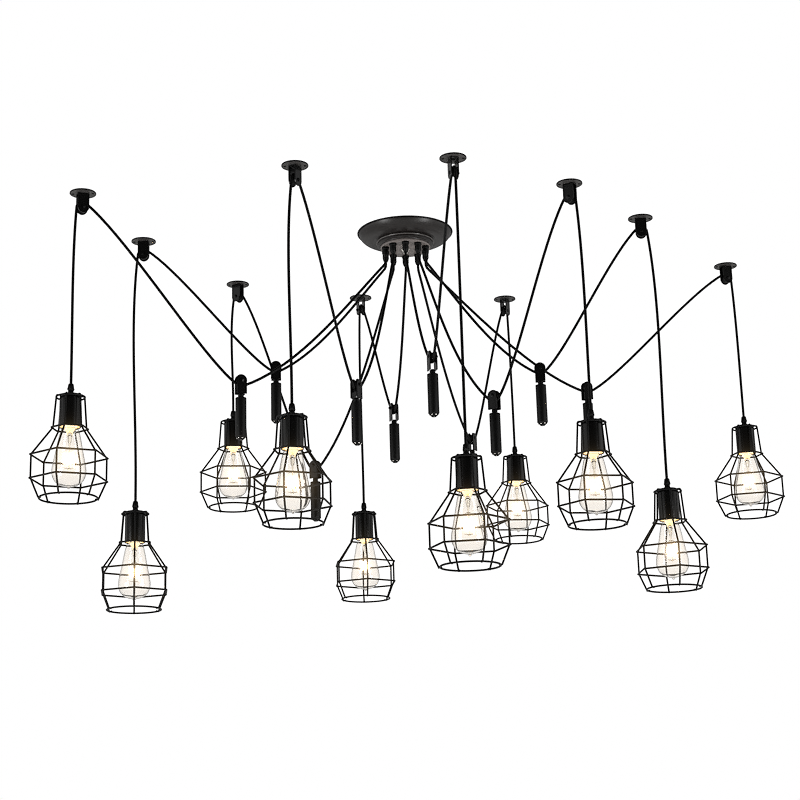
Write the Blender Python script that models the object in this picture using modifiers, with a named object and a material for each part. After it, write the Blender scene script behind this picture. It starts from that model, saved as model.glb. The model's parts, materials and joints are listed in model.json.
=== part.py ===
"""Chandelier with ten caged lamps on pulley cords, hung from a round ceiling canopy.

Metres, +Z up. The origin is on the ceiling, on the canopy's axis. Each arm lies in one
upright plane: its cord leaves the canopy, runs under the wheel of a hanging weight, over
the wheel of a ceiling hook, and down to its lamp.
"""

import math

import bmesh
import bpy
from mathutils import Matrix, Vector

# Clearances and facets
GAP = 0.0003
OVERRUN = 0.0015
WELD = 0.00001
ROUND_SIDES = 12
LAMP_SIDES = 10
WHEEL_SIDES = 10
SMALL_SIDES = 8
AXLE_SIDES = 6
FORK_END_PIECES = 5
CURVE_PIECES = 6
WEIGHT_WRAP_PIECES = 4
HOOK_WRAP_PIECES = 6
GLAND_BEND_PIECES = 3
CORD_SIDES = 8

# Cord and its bores
CORD_RADIUS = 0.00275
CORD_BORE_GAP = 0.00035
CORD_BORE = CORD_RADIUS + CORD_BORE_GAP

# Plate that carries the cord grips
PLATE_THICKNESS = 0.0045
PLATE_EDGE = 0.0005
GRIP_RING_RADIUS = 0.043
GRIP_TIP_WALL = 0.0019
GRIP_TAPER = 0.0015
GRIP_LENGTH = 0.025
GRIP_FLANGE = 0.004
GRIP_FLANGE_EDGE = 0.0010
GRIP_TIP_RADIUS = CORD_BORE + GRIP_TIP_WALL
GRIP_RADIUS = GRIP_TIP_RADIUS + GRIP_TAPER
GRIP_FLANGE_RADIUS = GRIP_RADIUS + GRIP_FLANGE_EDGE
PLATE_RADIUS = GRIP_RING_RADIUS + GRIP_FLANGE_RADIUS + PLATE_EDGE

# Canopy
CANOPY_RADIUS = 0.098
CANOPY_WALL = 0.0012
DISH_DEPTH = 0.020
STEP_LEDGE = 0.008
STEP_DEPTH = 0.0105
HOLE_ROOM = 0.00175
CANOPY_SIDES = 28
RIM_LIP = 0.002
STEP_RADIUS = PLATE_RADIUS + STEP_LEDGE
CANOPY_HOLE_RADIUS = GRIP_RING_RADIUS + CORD_RADIUS + HOLE_ROOM

# Ceiling bar, its stud, the nut and its washer
BAR_LENGTH = 0.150
BAR_WIDTH = 0.022
BAR_THICKNESS = 0.003
SLOT_LENGTH = 0.018
SLOT_WIDTH = 0.0052
SLOT_PLACE = 0.052
STUD_RADIUS = 0.004
NUT_RADIUS = 0.0075
NUT_HEIGHT = 0.009
STUD_THREAD_SHARE = 0.6
WASHER_RADIUS = 0.0090
WASHER = 0.0010

# Terminal block under the bar
BLOCK_PLACE = 0.021
BLOCK_LENGTH = 0.020
BLOCK_WIDTH = 0.016
BLOCK_HEIGHT = 0.0075

# Splice ring inside the canopy, and the cords' run
SPLICE_TOP = 0.012
SPLICE_HEIGHT = 0.008
SPLICE_HALF_WIDTH = 0.006
CORD_DIP = 0.004
CORD_END_GAP = 0.0009
GLAND_BEND_RADIUS = 0.014
# How far a cord's direction is off its straight line, where it leaves its grip steeper and
# where it meets the wheels flatter, and how much of each stretch bends there
GLAND_STEEPER = math.radians(6)
DOWN_FLATTER = math.radians(12)
UP_FLATTER = math.radians(5)
HOOK_FLATTER = math.radians(8)
GLAND_BEND_SHARE = 0.28
DOWN_BEND_SHARE = 0.30
UP_BEND_SHARE = 0.20
HOOK_BEND_SHARE = 0.24
# How far a lamp's cord leans outward off its wheel at most, how much of the drop bends at
# its top and its foot, its straight end above the lamp, and how far outward of its hook's
# axle a lamp hangs at most
DROP_LEAN = math.radians(12)
DROP_LEAVE_SHARE = 0.30
DROP_ARRIVE_SHARE = 0.35
DROP_STRAIGHT = 0.012
LAMP_OUT = 0.020

# Wheel shared by the hooks and the weights
WHEEL_RADIUS = 0.0114
GROOVE_DEPTH = 0.0041
GROOVE_RADIUS = WHEEL_RADIUS - GROOVE_DEPTH
WHEEL_WIDTH = 0.010
WHEEL_SIDE_GAP = 0.0006
CORD_SEAT_GAP = 0.0014
CORD_ON_WHEEL = GROOVE_RADIUS + CORD_RADIUS + CORD_SEAT_GAP
AXLE_RADIUS = 0.0025
AXLE_HEAD_RADIUS = 0.0042
AXLE_HEAD = 0.0016
AXLE_NUT = 0.0034
FORK_GAP = WHEEL_WIDTH + 2 * WHEEL_SIDE_GAP
FORK_PLATE = 0.0022

# Ceiling hook
ROSETTE_RADIUS = 0.025
ROSETTE_THICKNESS = 0.002
ROSETTE_EDGE = 0.0008
HOOK_CORD_ROOM = 0.0140
HOOK_PLATE_HALF_WIDTH = 0.0112
HOOK_AXLE_DROP = ROSETTE_THICKNESS + HOOK_CORD_ROOM + CORD_RADIUS + CORD_ON_WHEEL

# Hanging weight
WEIGHT_PLATE_HALF_WIDTH = 0.010
WEIGHT_FORK_FLOOR = 0.0025
WEIGHT_FLOOR_HALF_WIDTH = 0.0065
WEIGHT_CORD_ROOM = 0.0108
WEIGHT_FORK_DROP = CORD_ON_WHEEL + CORD_RADIUS + WEIGHT_CORD_ROOM + WEIGHT_FORK_FLOOR
STEM_RADIUS = 0.0056
STEM_LENGTH = 0.00745
TUBE_RADIUS = 0.0106
TUBE_LENGTH = 0.083
TUBE_TIP_RADIUS = 0.004
TUBE_TIP_LENGTH = 0.007

# Lamp: grip, holder and bulb
LAMP_GRIP_LENGTH = 0.0210
LAMP_GRIP_TOP_WALL = 0.0011
LAMP_GRIP_TOP_RADIUS = CORD_BORE + LAMP_GRIP_TOP_WALL
LAMP_GRIP_RADIUS = 0.0070
LAMP_GRIP_BORE = 0.012
HOLDER_RADIUS = 0.0200
HOLDER_LENGTH = 0.062
BULB_NECK_RADIUS = 0.0135
BULB_RADIUS = 0.0305
BULB_LENGTH = 0.112

# Lamp: wire cage
WIRE = 0.0032
CAGE_SIDES = 6
SPOKE_SINK = 0.0020
TOP_RING_RADIUS = 0.0260
NECK_RING_RADIUS = 0.0308
CAGE_RADIUS = 0.0708
BOTTOM_RING_RADIUS = 0.0524
TOP_RING_SEAT = 0.0018
NECK_HEIGHT = 0.0617
SHOULDER_HEIGHT = 0.0526
BAND_HEIGHT = 0.0439
FOOT_HEIGHT = 0.0338

# Placing of the ten arms
HOOK_SPREAD = 0.750
LONGEST_DROP = 0.546
LOWEST_WEIGHT = 0.4487
GRIP_STEP = math.radians(36)
# Hook place across and back, lamp drop, weight drop, cage turn in degrees, the place of
# the arm's grip, counted round the plate from the one on the right, how far along the
# cord's span the weight hangs, how much the lamp's cord leans off its wheel, and how far
# outward of the hook the lamp hangs.
ARM_SHARES = (
    (-0.8164, -0.3487, 0.6927, 0.7675, 23.0, 5.5, 0.5063, 0.30, 0.70),
    (-0.7184, 0.0108, 1.0000, 0.6166, 39.0, 4.5, 0.4680, 0.50, 0.48),
    (-0.4987, 0.3966, 0.5309, 1.0000, 7.0, 3.5, 0.5156, 1.00, 0.73),
    (-0.2685, -0.4899, 0.8397, 0.8278, 21.5, 6.5, 0.4492, 1.00, 0.97),
    (-0.1385, 0.5573, 0.8758, 0.7359, 35.5, 2.5, 0.3315, 0.80, 0.61),
    (0.1196, -0.5096, 0.9937, 0.7286, 50.0, 7.5, 0.4937, 0.10, 0.60),
    (0.3062, 0.6079, 0.6387, 0.8434, 7.5, 1.5, 0.5346, 0.30, 1.00),
    (0.4214, -0.3224, 0.8262, 0.8650, 7.5, 8.5, 0.4816, 0.40, 0.89),
    (0.6378, -0.0592, 0.9917, 0.6834, 32.0, 9.5, 0.5157, 0.55, 0.84),
    (0.9439, 0.3550, 0.6288, 0.6761, 45.5, 0.5, 0.5034, 0.25, 0.75),
)

# Curves of the turned shapes, as shares of their own radius and length
DISH_SHARES = ((0.985, 0.22), (0.92, 0.55), (0.82, 0.83), (0.72, 0.96))
BULB_SHARES = (
    (0.50, 0.12),
    (0.84, 0.45),
    (1.00, 0.66),
    (0.88, 0.83),
    (0.34, 0.955),
)

# Derived places
PLATE_TOP = DISH_DEPTH + STEP_DEPTH + CANOPY_WALL + GAP
PLATE_BOTTOM = PLATE_TOP + PLATE_THICKNESS
GRIP_END = PLATE_BOTTOM + GRIP_LENGTH
STUD_END = PLATE_BOTTOM + GAP + WASHER + GAP + NUT_HEIGHT * STUD_THREAD_SHARE
TUBE_TOP = WEIGHT_FORK_DROP + STEM_LENGTH
HOLDER_TOP = LAMP_GRIP_LENGTH
HOLDER_END = HOLDER_TOP + HOLDER_LENGTH
TOP_RING_DROP = HOLDER_TOP + TOP_RING_SEAT
NECK_RING_DROP = TOP_RING_DROP + NECK_HEIGHT
UPPER_RING_DROP = NECK_RING_DROP + SHOULDER_HEIGHT
LOWER_RING_DROP = UPPER_RING_DROP + BAND_HEIGHT
BOTTOM_RING_DROP = LOWER_RING_DROP + FOOT_HEIGHT

# Finishes: colour, metallic, roughness
BLACK_PAINT = ((0.02, 0.02, 0.021), 0.4, 0.42)
GREY_PAINT = ((0.05, 0.05, 0.055), 0.3, 0.4)
ZINC_PLATE = ((0.45, 0.46, 0.47), 0.9, 0.4)
NICKEL_PLATE = ((0.62, 0.60, 0.57), 1.0, 0.16)
BLACK_NYLON = ((0.03, 0.03, 0.03), 0.0, 0.5)
WHITE_NYLON = ((0.72, 0.71, 0.68), 0.0, 0.5)
CORD_SLEEVE = ((0.015, 0.015, 0.015), 0.0, 0.75)


def clear_scene():
    for old in list(bpy.data.objects):
        bpy.data.objects.remove(old)


def collection(name):
    made = bpy.data.collections.new(name)
    bpy.context.scene.collection.children.link(made)
    return made


def material(name, finish):
    colour, metallic, roughness = finish
    made = bpy.data.materials.new(name)
    made.use_nodes = True
    shader = made.node_tree.nodes["Principled BSDF"]
    shader.inputs["Base Color"].default_value = (*colour, 1.0)
    shader.inputs["Metallic"].default_value = metallic
    shader.inputs["Roughness"].default_value = roughness
    return made


def mesh_object(name, mesh, home, place=None):
    """An object for this mesh, linked into its collection and placed by a matrix."""
    made = bpy.data.objects.new(name, mesh)
    home.objects.link(made)
    if place is not None:
        made.matrix_world = place
    return made


def as_cutter(tool):
    tool.hide_render = True
    tool.display_type = "WIRE"
    return tool


def turned(name, home, profile, sides, closed=False, place=None):
    """A profile of (radius, height) points turned about Z by a Screw."""
    mesh = bpy.data.meshes.new(name)
    edges = [(i, i + 1) for i in range(len(profile) - 1)]
    if closed:
        edges.append((len(profile) - 1, 0))
    mesh.from_pydata([(radius, 0.0, height) for radius, height in profile], edges, [])
    made = mesh_object(name, mesh, home, place)
    screw = made.modifiers.new("turn", "SCREW")
    screw.steps = screw.render_steps = sides
    screw.use_merge_vertices = True
    screw.merge_threshold = WELD
    screw.use_smooth_shade = True
    return made


def joined(base, tool, operation="UNION"):
    """Adds an exact Boolean of the tool to the base."""
    cut = base.modifiers.new(operation.lower(), "BOOLEAN")
    cut.operation = operation
    cut.solver = "EXACT"
    cut.object = as_cutter(tool)
    return base


def merged(name, home, sources):
    """One mesh object that takes the place of several closed shapes."""
    graph = bpy.context.evaluated_depsgraph_get()
    shape = bmesh.new()
    for source in sources:
        ready = source.evaluated_get(graph)
        copy = bpy.data.meshes.new_from_object(ready)
        copy.transform(ready.matrix_world)
        shape.from_mesh(copy)
        bpy.data.objects.remove(source)
    bmesh.ops.remove_doubles(shape, verts=shape.verts, dist=WELD)
    bmesh.ops.recalc_face_normals(shape, faces=shape.faces)
    mesh = bpy.data.meshes.new(name)
    shape.to_mesh(mesh)
    shape.free()
    return mesh_object(name, mesh, home)


def prism(name, home, outline, low, high, place=None):
    """An outline of (x, z) points made solid between two heights along Y."""
    mesh = bpy.data.meshes.new(name)
    shape = bmesh.new()
    near = [shape.verts.new((x, low, z)) for x, z in outline]
    far = [shape.verts.new((x, high, z)) for x, z in outline]
    shape.faces.new(near)
    shape.faces.new(far[::-1])
    for i in range(len(outline)):
        j = (i + 1) % len(outline)
        shape.faces.new((near[j], near[i], far[i], far[j]))
    bmesh.ops.recalc_face_normals(shape, faces=shape.faces)
    shape.to_mesh(mesh)
    shape.free()
    return mesh_object(name, mesh, home, place)


def arc(centre, radius, start, end, pieces):
    """Points (x, z) along a circle from one angle to another, in degrees."""
    turns = [math.radians(start + (end - start) * i / pieces) for i in range(pieces + 1)]
    return [
        (centre[0] + radius * math.cos(turn), centre[1] + radius * math.sin(turn))
        for turn in turns
    ]


def dish_line(inset):
    """The canopy's outer line from rim to step, drawn in by the inset."""
    return [
        (radius * CANOPY_RADIUS - inset, -drop * DISH_DEPTH + inset * drop)
        for radius, drop in DISH_SHARES
    ]


def canopy_profile():
    """The closed section of the canopy: outer line down, then inner line back up."""
    low = DISH_DEPTH + STEP_DEPTH
    corner = STEP_DEPTH / 3
    outer = [(CANOPY_RADIUS, -GAP), *dish_line(0.0), (STEP_RADIUS, -DISH_DEPTH)]
    outer += [
        (STEP_RADIUS, -low + corner),
        (STEP_RADIUS - corner, -low - CANOPY_WALL / 2),
        (PLATE_RADIUS, -low - CANOPY_WALL),
        (CANOPY_HOLE_RADIUS, -low - CANOPY_WALL),
    ]
    inner = [
        (CANOPY_HOLE_RADIUS, -low),
        (STEP_RADIUS - corner - CANOPY_WALL, -low),
        (STEP_RADIUS - CANOPY_WALL, -low + corner),
        (STEP_RADIUS - CANOPY_WALL, -DISH_DEPTH + CANOPY_WALL),
    ]
    inner += dish_line(CANOPY_WALL)[::-1]
    inner.append((CANOPY_RADIUS - RIM_LIP, -GAP))
    return outer + inner


def build_canopy(parts, tools):
    shell = turned("canopy_shell", parts, canopy_profile(), CANOPY_SIDES, closed=True)
    shell.data.materials.append(material("painted_canopy", BLACK_PAINT))
    build_plate(parts, tools)
    build_bar(parts, tools)
    build_nut(parts)
    build_block(parts)


def grip_place(index):
    turn = GRIP_STEP * index
    return Vector(
        (GRIP_RING_RADIUS * math.cos(turn), GRIP_RING_RADIUS * math.sin(turn), 0.0)
    )


def build_plate(parts, tools):
    """The plate under the canopy, with its ten cord grips and their bores."""
    sheet = [(STUD_RADIUS + GAP, -PLATE_TOP), (PLATE_RADIUS, -PLATE_TOP)]
    sheet += [(PLATE_RADIUS, -PLATE_BOTTOM), (STUD_RADIUS + GAP, -PLATE_BOTTOM)]
    plate = turned("grip_plate", parts, sheet, CANOPY_SIDES, closed=True)
    root = PLATE_BOTTOM - PLATE_THICKNESS / 2
    flange_end = PLATE_BOTTOM + GRIP_FLANGE
    body = [
        (0.0, -root),
        (GRIP_FLANGE_RADIUS, -root),
        (GRIP_FLANGE_RADIUS, -flange_end),
        (GRIP_RADIUS, -flange_end),
        (GRIP_TIP_RADIUS, -GRIP_END),
        (0.0, -GRIP_END),
    ]
    bore = [
        (0.0, -PLATE_TOP + OVERRUN),
        (CORD_BORE, -PLATE_TOP + OVERRUN),
        (CORD_BORE, -GRIP_END - OVERRUN),
        (0.0, -GRIP_END - OVERRUN),
    ]
    places = [Matrix.Translation(grip_place(shares[5])) for shares in ARM_SHARES]
    bodies = [turned("grip", tools, body, SMALL_SIDES, place=place) for place in places]
    bores = [turned("bore", tools, bore, SMALL_SIDES, place=place) for place in places]
    joined(plate, merged("grips", tools, bodies))
    joined(plate, merged("bores", tools, bores), "DIFFERENCE")
    plate.data.materials.append(material("painted_plate", GREY_PAINT))


def build_bar(parts, tools):
    """The slotted ceiling bar with the stud that carries the plate and the canopy."""
    half, side = BAR_LENGTH / 2, BAR_WIDTH / 2
    bar = prism(
        "ceiling_bar",
        parts,
        [(-half, 0.0), (half, 0.0), (half, -BAR_THICKNESS), (-half, -BAR_THICKNESS)],
        -side,
        side,
    )
    stud = [(0.0, -BAR_THICKNESS / 2), (STUD_RADIUS, -BAR_THICKNESS / 2)]
    stud += [(STUD_RADIUS, -STUD_END), (0.0, -STUD_END)]
    joined(bar, turned("stud", tools, stud, SMALL_SIDES))
    slot_side, slot_half = SLOT_WIDTH / 2, SLOT_LENGTH / 2
    for end in (-1, 1):
        middle = end * SLOT_PLACE
        outline = [
            (middle - slot_half, OVERRUN),
            (middle + slot_half, OVERRUN),
            (middle + slot_half, -BAR_THICKNESS - OVERRUN),
            (middle - slot_half, -BAR_THICKNESS - OVERRUN),
        ]
        slot = prism(f"slot_{end}", tools, outline, -slot_side, slot_side)
        joined(bar, slot, "DIFFERENCE")
    bar.data.materials.append(material("galvanised_bar", ZINC_PLATE))


def build_nut(parts):
    """The washer under the plate and the cap nut that holds the canopy up."""
    bore = STUD_RADIUS + GAP
    washer_top = PLATE_BOTTOM + GAP
    section = [(bore, -washer_top), (WASHER_RADIUS, -washer_top)]
    section += [(WASHER_RADIUS, -washer_top - WASHER), (bore, -washer_top - WASHER)]
    washer = turned("nut_washer", parts, section, ROUND_SIDES, closed=True)
    washer.data.materials.append(material("zinc_washer", ZINC_PLATE))
    top = washer_top + WASHER + GAP
    profile = [(0.0, -STUD_END - GAP), (bore, -STUD_END - GAP), (bore, -top)]
    profile += [
        (NUT_RADIUS, -top),
        (NUT_RADIUS, -top - NUT_HEIGHT * STUD_THREAD_SHARE),
        (NUT_RADIUS / 2, -top - NUT_HEIGHT),
        (0.0, -top - NUT_HEIGHT),
    ]
    nut = turned("cap_nut", parts, profile, WHEEL_SIDES)
    nut.data.materials.append(material("nickel_nut", NICKEL_PLATE))


def build_block(parts):
    """The terminal block that joins the cords to the house wiring, under the bar."""
    near, far = BLOCK_PLACE - BLOCK_LENGTH / 2, BLOCK_PLACE + BLOCK_LENGTH / 2
    top = -BAR_THICKNESS - GAP
    outline = [(near, top), (far, top), (far, top - BLOCK_HEIGHT), (near, top - BLOCK_HEIGHT)]
    block = prism("terminal_block", parts, outline, -BLOCK_WIDTH / 2, BLOCK_WIDTH / 2)
    block.data.materials.append(material("nylon_block", WHITE_NYLON))


class Arm:
    """Where one arm's pieces sit: distances run outward from its grip, heights upward."""

    def __init__(self, number, shares):
        across, back, drop, weight, cage_turn, grip, along, lean, out = shares
        self.number = number
        self.grip = grip_place(grip)
        hook = Vector((across * HOOK_SPREAD, back * HOOK_SPREAD, 0.0))
        self.outward = (hook - self.grip).normalized()
        self.turn = math.atan2(self.outward.y, self.outward.x)
        self.hook = (hook - self.grip).length
        self.lamp = self.hook + out * LAMP_OUT
        self.lamp_top = -drop * LONGEST_DROP
        self.weight = (self.hook - CORD_ON_WHEEL) * along
        self.weight_axle = -weight * LOWEST_WEIGHT
        self.cage_turn = math.radians(cage_turn)
        self.lean = lean * DROP_LEAN

    def name(self, piece):
        return f"{piece}_{self.number:02d}"

    def at(self, along, height):
        return self.grip + self.outward * along + Vector((0.0, 0.0, height))

    def place(self, along, height):
        return Matrix.Translation(self.at(along, height)) @ Matrix.Rotation(self.turn, 4, "Z")


def fork_outline(half_width, reach, up):
    """A plate's outline round its axle: a straight end, and a round end about the axle."""
    ends = [(up * half_width, up * reach), (-up * half_width, up * reach)]
    start = 180 if up > 0 else 0
    return ends + arc((0.0, 0.0), half_width, start, start + 180, FORK_END_PIECES)


def build_fork(base, arm, tools, half_width, reach, up, place):
    """Joins two side plates and their axle, with its nut and its head, to the base."""
    inner = FORK_GAP / 2
    outer = inner + FORK_PLATE
    outline = fork_outline(half_width, reach, up)
    joined(base, prism(arm.name("plate_a"), tools, outline, -outer, -inner, place))
    joined(base, prism(arm.name("plate_b"), tools, outline, inner, outer, place))
    across = place @ Matrix.Rotation(-math.pi / 2, 4, "X")
    end = outer + AXLE_HEAD
    head = outer - FORK_PLATE / 2
    axle = [
        (0.0, outer + AXLE_NUT),
        (AXLE_HEAD_RADIUS, outer + AXLE_NUT),
        (AXLE_HEAD_RADIUS, head),
        (AXLE_RADIUS, head),
        (AXLE_RADIUS, -head),
        (AXLE_HEAD_RADIUS, -head),
        (AXLE_HEAD_RADIUS, -end),
        (0.0, -end),
    ]
    joined(base, turned(arm.name("axle"), tools, axle, AXLE_SIDES, place=across))
    return base


def build_hook(arm, parts, tools, finish):
    """The rosette on the ceiling with its fork and axle, in one piece."""
    rosette = [
        (0.0, 0.0),
        (ROSETTE_RADIUS - ROSETTE_EDGE, 0.0),
        (ROSETTE_RADIUS, -ROSETTE_EDGE),
        (ROSETTE_RADIUS, -ROSETTE_THICKNESS),
        (0.0, -ROSETTE_THICKNESS),
    ]
    place = arm.place(arm.hook, 0.0)
    hook = turned(arm.name("hook"), parts, rosette, ROUND_SIDES, place=place)
    reach = HOOK_AXLE_DROP - ROSETTE_THICKNESS / 2
    fork_place = arm.place(arm.hook, -HOOK_AXLE_DROP)
    build_fork(hook, arm, tools, HOOK_PLATE_HALF_WIDTH, reach, 1, fork_place)
    hook.data.materials.append(finish)


def build_wheel(name, parts, place, finish):
    """A grooved wheel whose axis is its own Z, turned to lie across the arm."""
    half = WHEEL_WIDTH / 2
    bore = AXLE_RADIUS + GAP
    section = [(bore, half), (WHEEL_RADIUS, half), (GROOVE_RADIUS, 0.0)]
    section += [(WHEEL_RADIUS, -half), (bore, -half)]
    across = place @ Matrix.Rotation(math.pi / 2, 4, "X")
    wheel = turned(name, parts, section, WHEEL_SIDES, closed=True, place=across)
    wheel.data.materials.append(finish)


def build_weight(arm, parts, tools, finish):
    """A fork with its axle, a stem and a long round weight with a tapered tip."""
    place = arm.place(arm.weight, arm.weight_axle)
    end = TUBE_TOP + TUBE_LENGTH
    sink = WEIGHT_FORK_FLOOR / 2
    body = [
        (0.0, -WEIGHT_FORK_DROP + sink),
        (STEM_RADIUS, -WEIGHT_FORK_DROP + sink),
        (STEM_RADIUS, -TUBE_TOP),
        (TUBE_RADIUS, -TUBE_TOP),
        (TUBE_RADIUS, -end + TUBE_TIP_LENGTH),
        (TUBE_TIP_RADIUS, -end),
        (0.0, -end),
    ]
    weight = turned(arm.name("weight"), parts, body, ROUND_SIDES, place=place)
    floor_half = WEIGHT_FLOOR_HALF_WIDTH
    floor_top = -WEIGHT_FORK_DROP + WEIGHT_FORK_FLOOR
    floor = [(-floor_half, floor_top), (floor_half, floor_top)]
    floor += [(floor_half, -WEIGHT_FORK_DROP), (-floor_half, -WEIGHT_FORK_DROP)]
    side = FORK_GAP / 2 + FORK_PLATE / 2
    joined(weight, prism(arm.name("floor"), tools, floor, -side, side, place))
    reach = WEIGHT_FORK_DROP
    build_fork(weight, arm, tools, WEIGHT_PLATE_HALF_WIDTH, reach, -1, place)
    weight.data.materials.append(finish)


def ring_points(shape, count, radius, drop):
    """New points evenly round a circle at this drop."""
    turns = [2 * math.pi * i / count for i in range(count)]
    return [
        shape.verts.new((radius * math.cos(turn), radius * math.sin(turn), -drop))
        for turn in turns
    ]


def cage_mesh():
    """The cage as a shell of large panels, which a Wireframe turns into its wires."""
    mesh = bpy.data.meshes.new("cage")
    shape = bmesh.new()
    spoke = ring_points(shape, CAGE_SIDES, HOLDER_RADIUS - SPOKE_SINK, TOP_RING_DROP)
    top = ring_points(shape, CAGE_SIDES, TOP_RING_RADIUS, TOP_RING_DROP)
    neck = ring_points(shape, CAGE_SIDES, NECK_RING_RADIUS, NECK_RING_DROP)
    upper = ring_points(shape, CAGE_SIDES, CAGE_RADIUS, UPPER_RING_DROP)
    lower = ring_points(shape, CAGE_SIDES, CAGE_RADIUS, LOWER_RING_DROP)
    bottom = ring_points(shape, CAGE_SIDES * 2, BOTTOM_RING_RADIUS, BOTTOM_RING_DROP)
    for i in range(CAGE_SIDES):
        j = (i + 1) % CAGE_SIDES
        start, middle, end = 2 * i, 2 * i + 1, 2 * j
        shape.faces.new((spoke[i], top[i], top[j], spoke[j]))
        shape.faces.new((top[i], neck[i], neck[j], top[j]))
        shape.faces.new((neck[i], upper[i], upper[j], neck[j]))
        shape.faces.new((upper[i], lower[i], lower[j], upper[j]))
        shape.faces.new((lower[i], bottom[start], bottom[middle], bottom[end], lower[j]))
    shape.normal_update()
    shape.to_mesh(mesh)
    shape.free()
    return mesh


def lamp_profile():
    """Outer line of the grip, holder and bulb, from the cord's blind bore to the tip."""
    collar = LAMP_GRIP_LENGTH / 2
    profile = [
        (0.0, -LAMP_GRIP_BORE),
        (CORD_BORE, -LAMP_GRIP_BORE),
        (CORD_BORE, 0.0),
        (LAMP_GRIP_TOP_RADIUS, 0.0),
        (LAMP_GRIP_RADIUS, -collar),
        (LAMP_GRIP_RADIUS, -HOLDER_TOP),
        (HOLDER_RADIUS, -HOLDER_TOP),
        (HOLDER_RADIUS, -HOLDER_END),
        (BULB_NECK_RADIUS, -HOLDER_END),
    ]
    for radius, drop in BULB_SHARES:
        profile.append((BULB_RADIUS * radius, -HOLDER_END - BULB_LENGTH * drop))
    profile.append((0.0, -HOLDER_END - BULB_LENGTH))
    return profile


def build_lamp(arm, parts, tools, finish, cage):
    """The caged lamp: grip, holder and bulb in one, with the wires joined on."""
    place = arm.place(arm.lamp, arm.lamp_top)
    lamp = turned(arm.name("lamp"), parts, lamp_profile(), LAMP_SIDES, place=place)
    turn = Matrix.Translation(place.translation) @ Matrix.Rotation(arm.cage_turn, 4, "Z")
    wires = mesh_object(arm.name("cage"), cage, tools, turn)
    wire = wires.modifiers.new("wires", "WIREFRAME")
    wire.thickness = WIRE
    wire.offset = 0.0
    wire.use_boundary = True
    wire.use_even_offset = True
    joined(lamp, wires)
    lamp.data.materials.append(finish)


def eased(start, leaving, leave_share, arriving, arrive_share, end):
    """Points of a cubic curve between two points, without the points themselves. It leaves
    and arrives at these slopes, with handles that are shares of its span."""
    span = math.dist(start, end)
    leave = [
        start[0] + span * leave_share * math.cos(leaving),
        start[1] + span * leave_share * math.sin(leaving),
    ]
    arrive = [
        end[0] - span * arrive_share * math.cos(arriving),
        end[1] - span * arrive_share * math.sin(arriving),
    ]
    points = []
    for i in range(1, CURVE_PIECES):
        t = i / CURVE_PIECES
        s = 1 - t
        weights = (s**3, 3 * s * s * t, 3 * s * t * t, t**3)
        points.append(
            tuple(
                sum(w * p[k] for w, p in zip(weights, (start, leave, arrive, end)))
                for k in range(2)
            )
        )
    return points


def cord_line(arm):
    """The cord's middle line in the arm's plane, as (outward, height) points."""
    hook_axle = -HOOK_AXLE_DROP
    exit_height = -GRIP_END - CORD_DIP
    fall = math.atan2(exit_height - arm.weight_axle, arm.weight)
    rise = math.atan2(hook_axle - arm.weight_axle, arm.hook - arm.weight)
    leaving, landing = fall + GLAND_STEEPER, fall - DOWN_FLATTER
    climbing, cresting = rise - UP_FLATTER, rise - HOOK_FLATTER
    under = arc(
        (arm.weight, arm.weight_axle),
        CORD_ON_WHEEL,
        270 - math.degrees(landing),
        270 + math.degrees(climbing),
        WEIGHT_WRAP_PIECES,
    )
    crest, lean = 90 + math.degrees(cresting), math.degrees(arm.lean)
    over = arc((arm.hook, hook_axle), CORD_ON_WHEEL, crest, lean, HOOK_WRAP_PIECES)
    bend = arc(
        (GLAND_BEND_RADIUS, exit_height),
        GLAND_BEND_RADIUS,
        180,
        270 - math.degrees(leaving),
        GLAND_BEND_PIECES,
    )
    splice = -SPLICE_TOP - SPLICE_HEIGHT / 2
    down = -math.pi / 2
    foot = (arm.lamp, arm.lamp_top + DROP_STRAIGHT)
    line = [(0.0, splice), *bend]
    line += eased(bend[-1], -leaving, GLAND_BEND_SHARE, -landing, DOWN_BEND_SHARE, under[0])
    line += under
    line += eased(under[-1], climbing, UP_BEND_SHARE, cresting, HOOK_BEND_SHARE, over[0])
    line += over
    line += eased(over[-1], down + arm.lean, DROP_LEAVE_SHARE, down, DROP_ARRIVE_SHARE, foot)
    line += [foot, (arm.lamp, arm.lamp_top - LAMP_GRIP_BORE + CORD_END_GAP)]
    return line


def cord_tube(arm, tools):
    """One cord as a closed tube along its line."""
    curve = bpy.data.curves.new(arm.name("cord"), "CURVE")
    curve.dimensions = "3D"
    curve.bevel_depth = CORD_RADIUS
    curve.bevel_resolution = CORD_SIDES // 2 - 2
    curve.use_fill_caps = True
    line = cord_line(arm)
    spline = curve.splines.new("POLY")
    spline.points.add(len(line) - 1)
    for point, (along, height) in zip(spline.points, line):
        point.co = (*arm.at(along, height), 1.0)
    return mesh_object(arm.name("cord"), curve, tools)


def build_cords(arms, parts, tools):
    """The ten cords, joined inside the canopy by the ring where they are spliced."""
    inner, outer = GRIP_RING_RADIUS - SPLICE_HALF_WIDTH, GRIP_RING_RADIUS + SPLICE_HALF_WIDTH
    top, low = -SPLICE_TOP, -SPLICE_TOP - SPLICE_HEIGHT
    section = [(inner, top), (outer, top), (outer, low), (inner, low)]
    cords = turned("cords", parts, section, CANOPY_SIDES, closed=True)
    joined(cords, merged("cord_tubes", tools, [cord_tube(arm, tools) for arm in arms]))
    cords.data.materials.append(material("cord_sleeve", CORD_SLEEVE))


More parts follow.
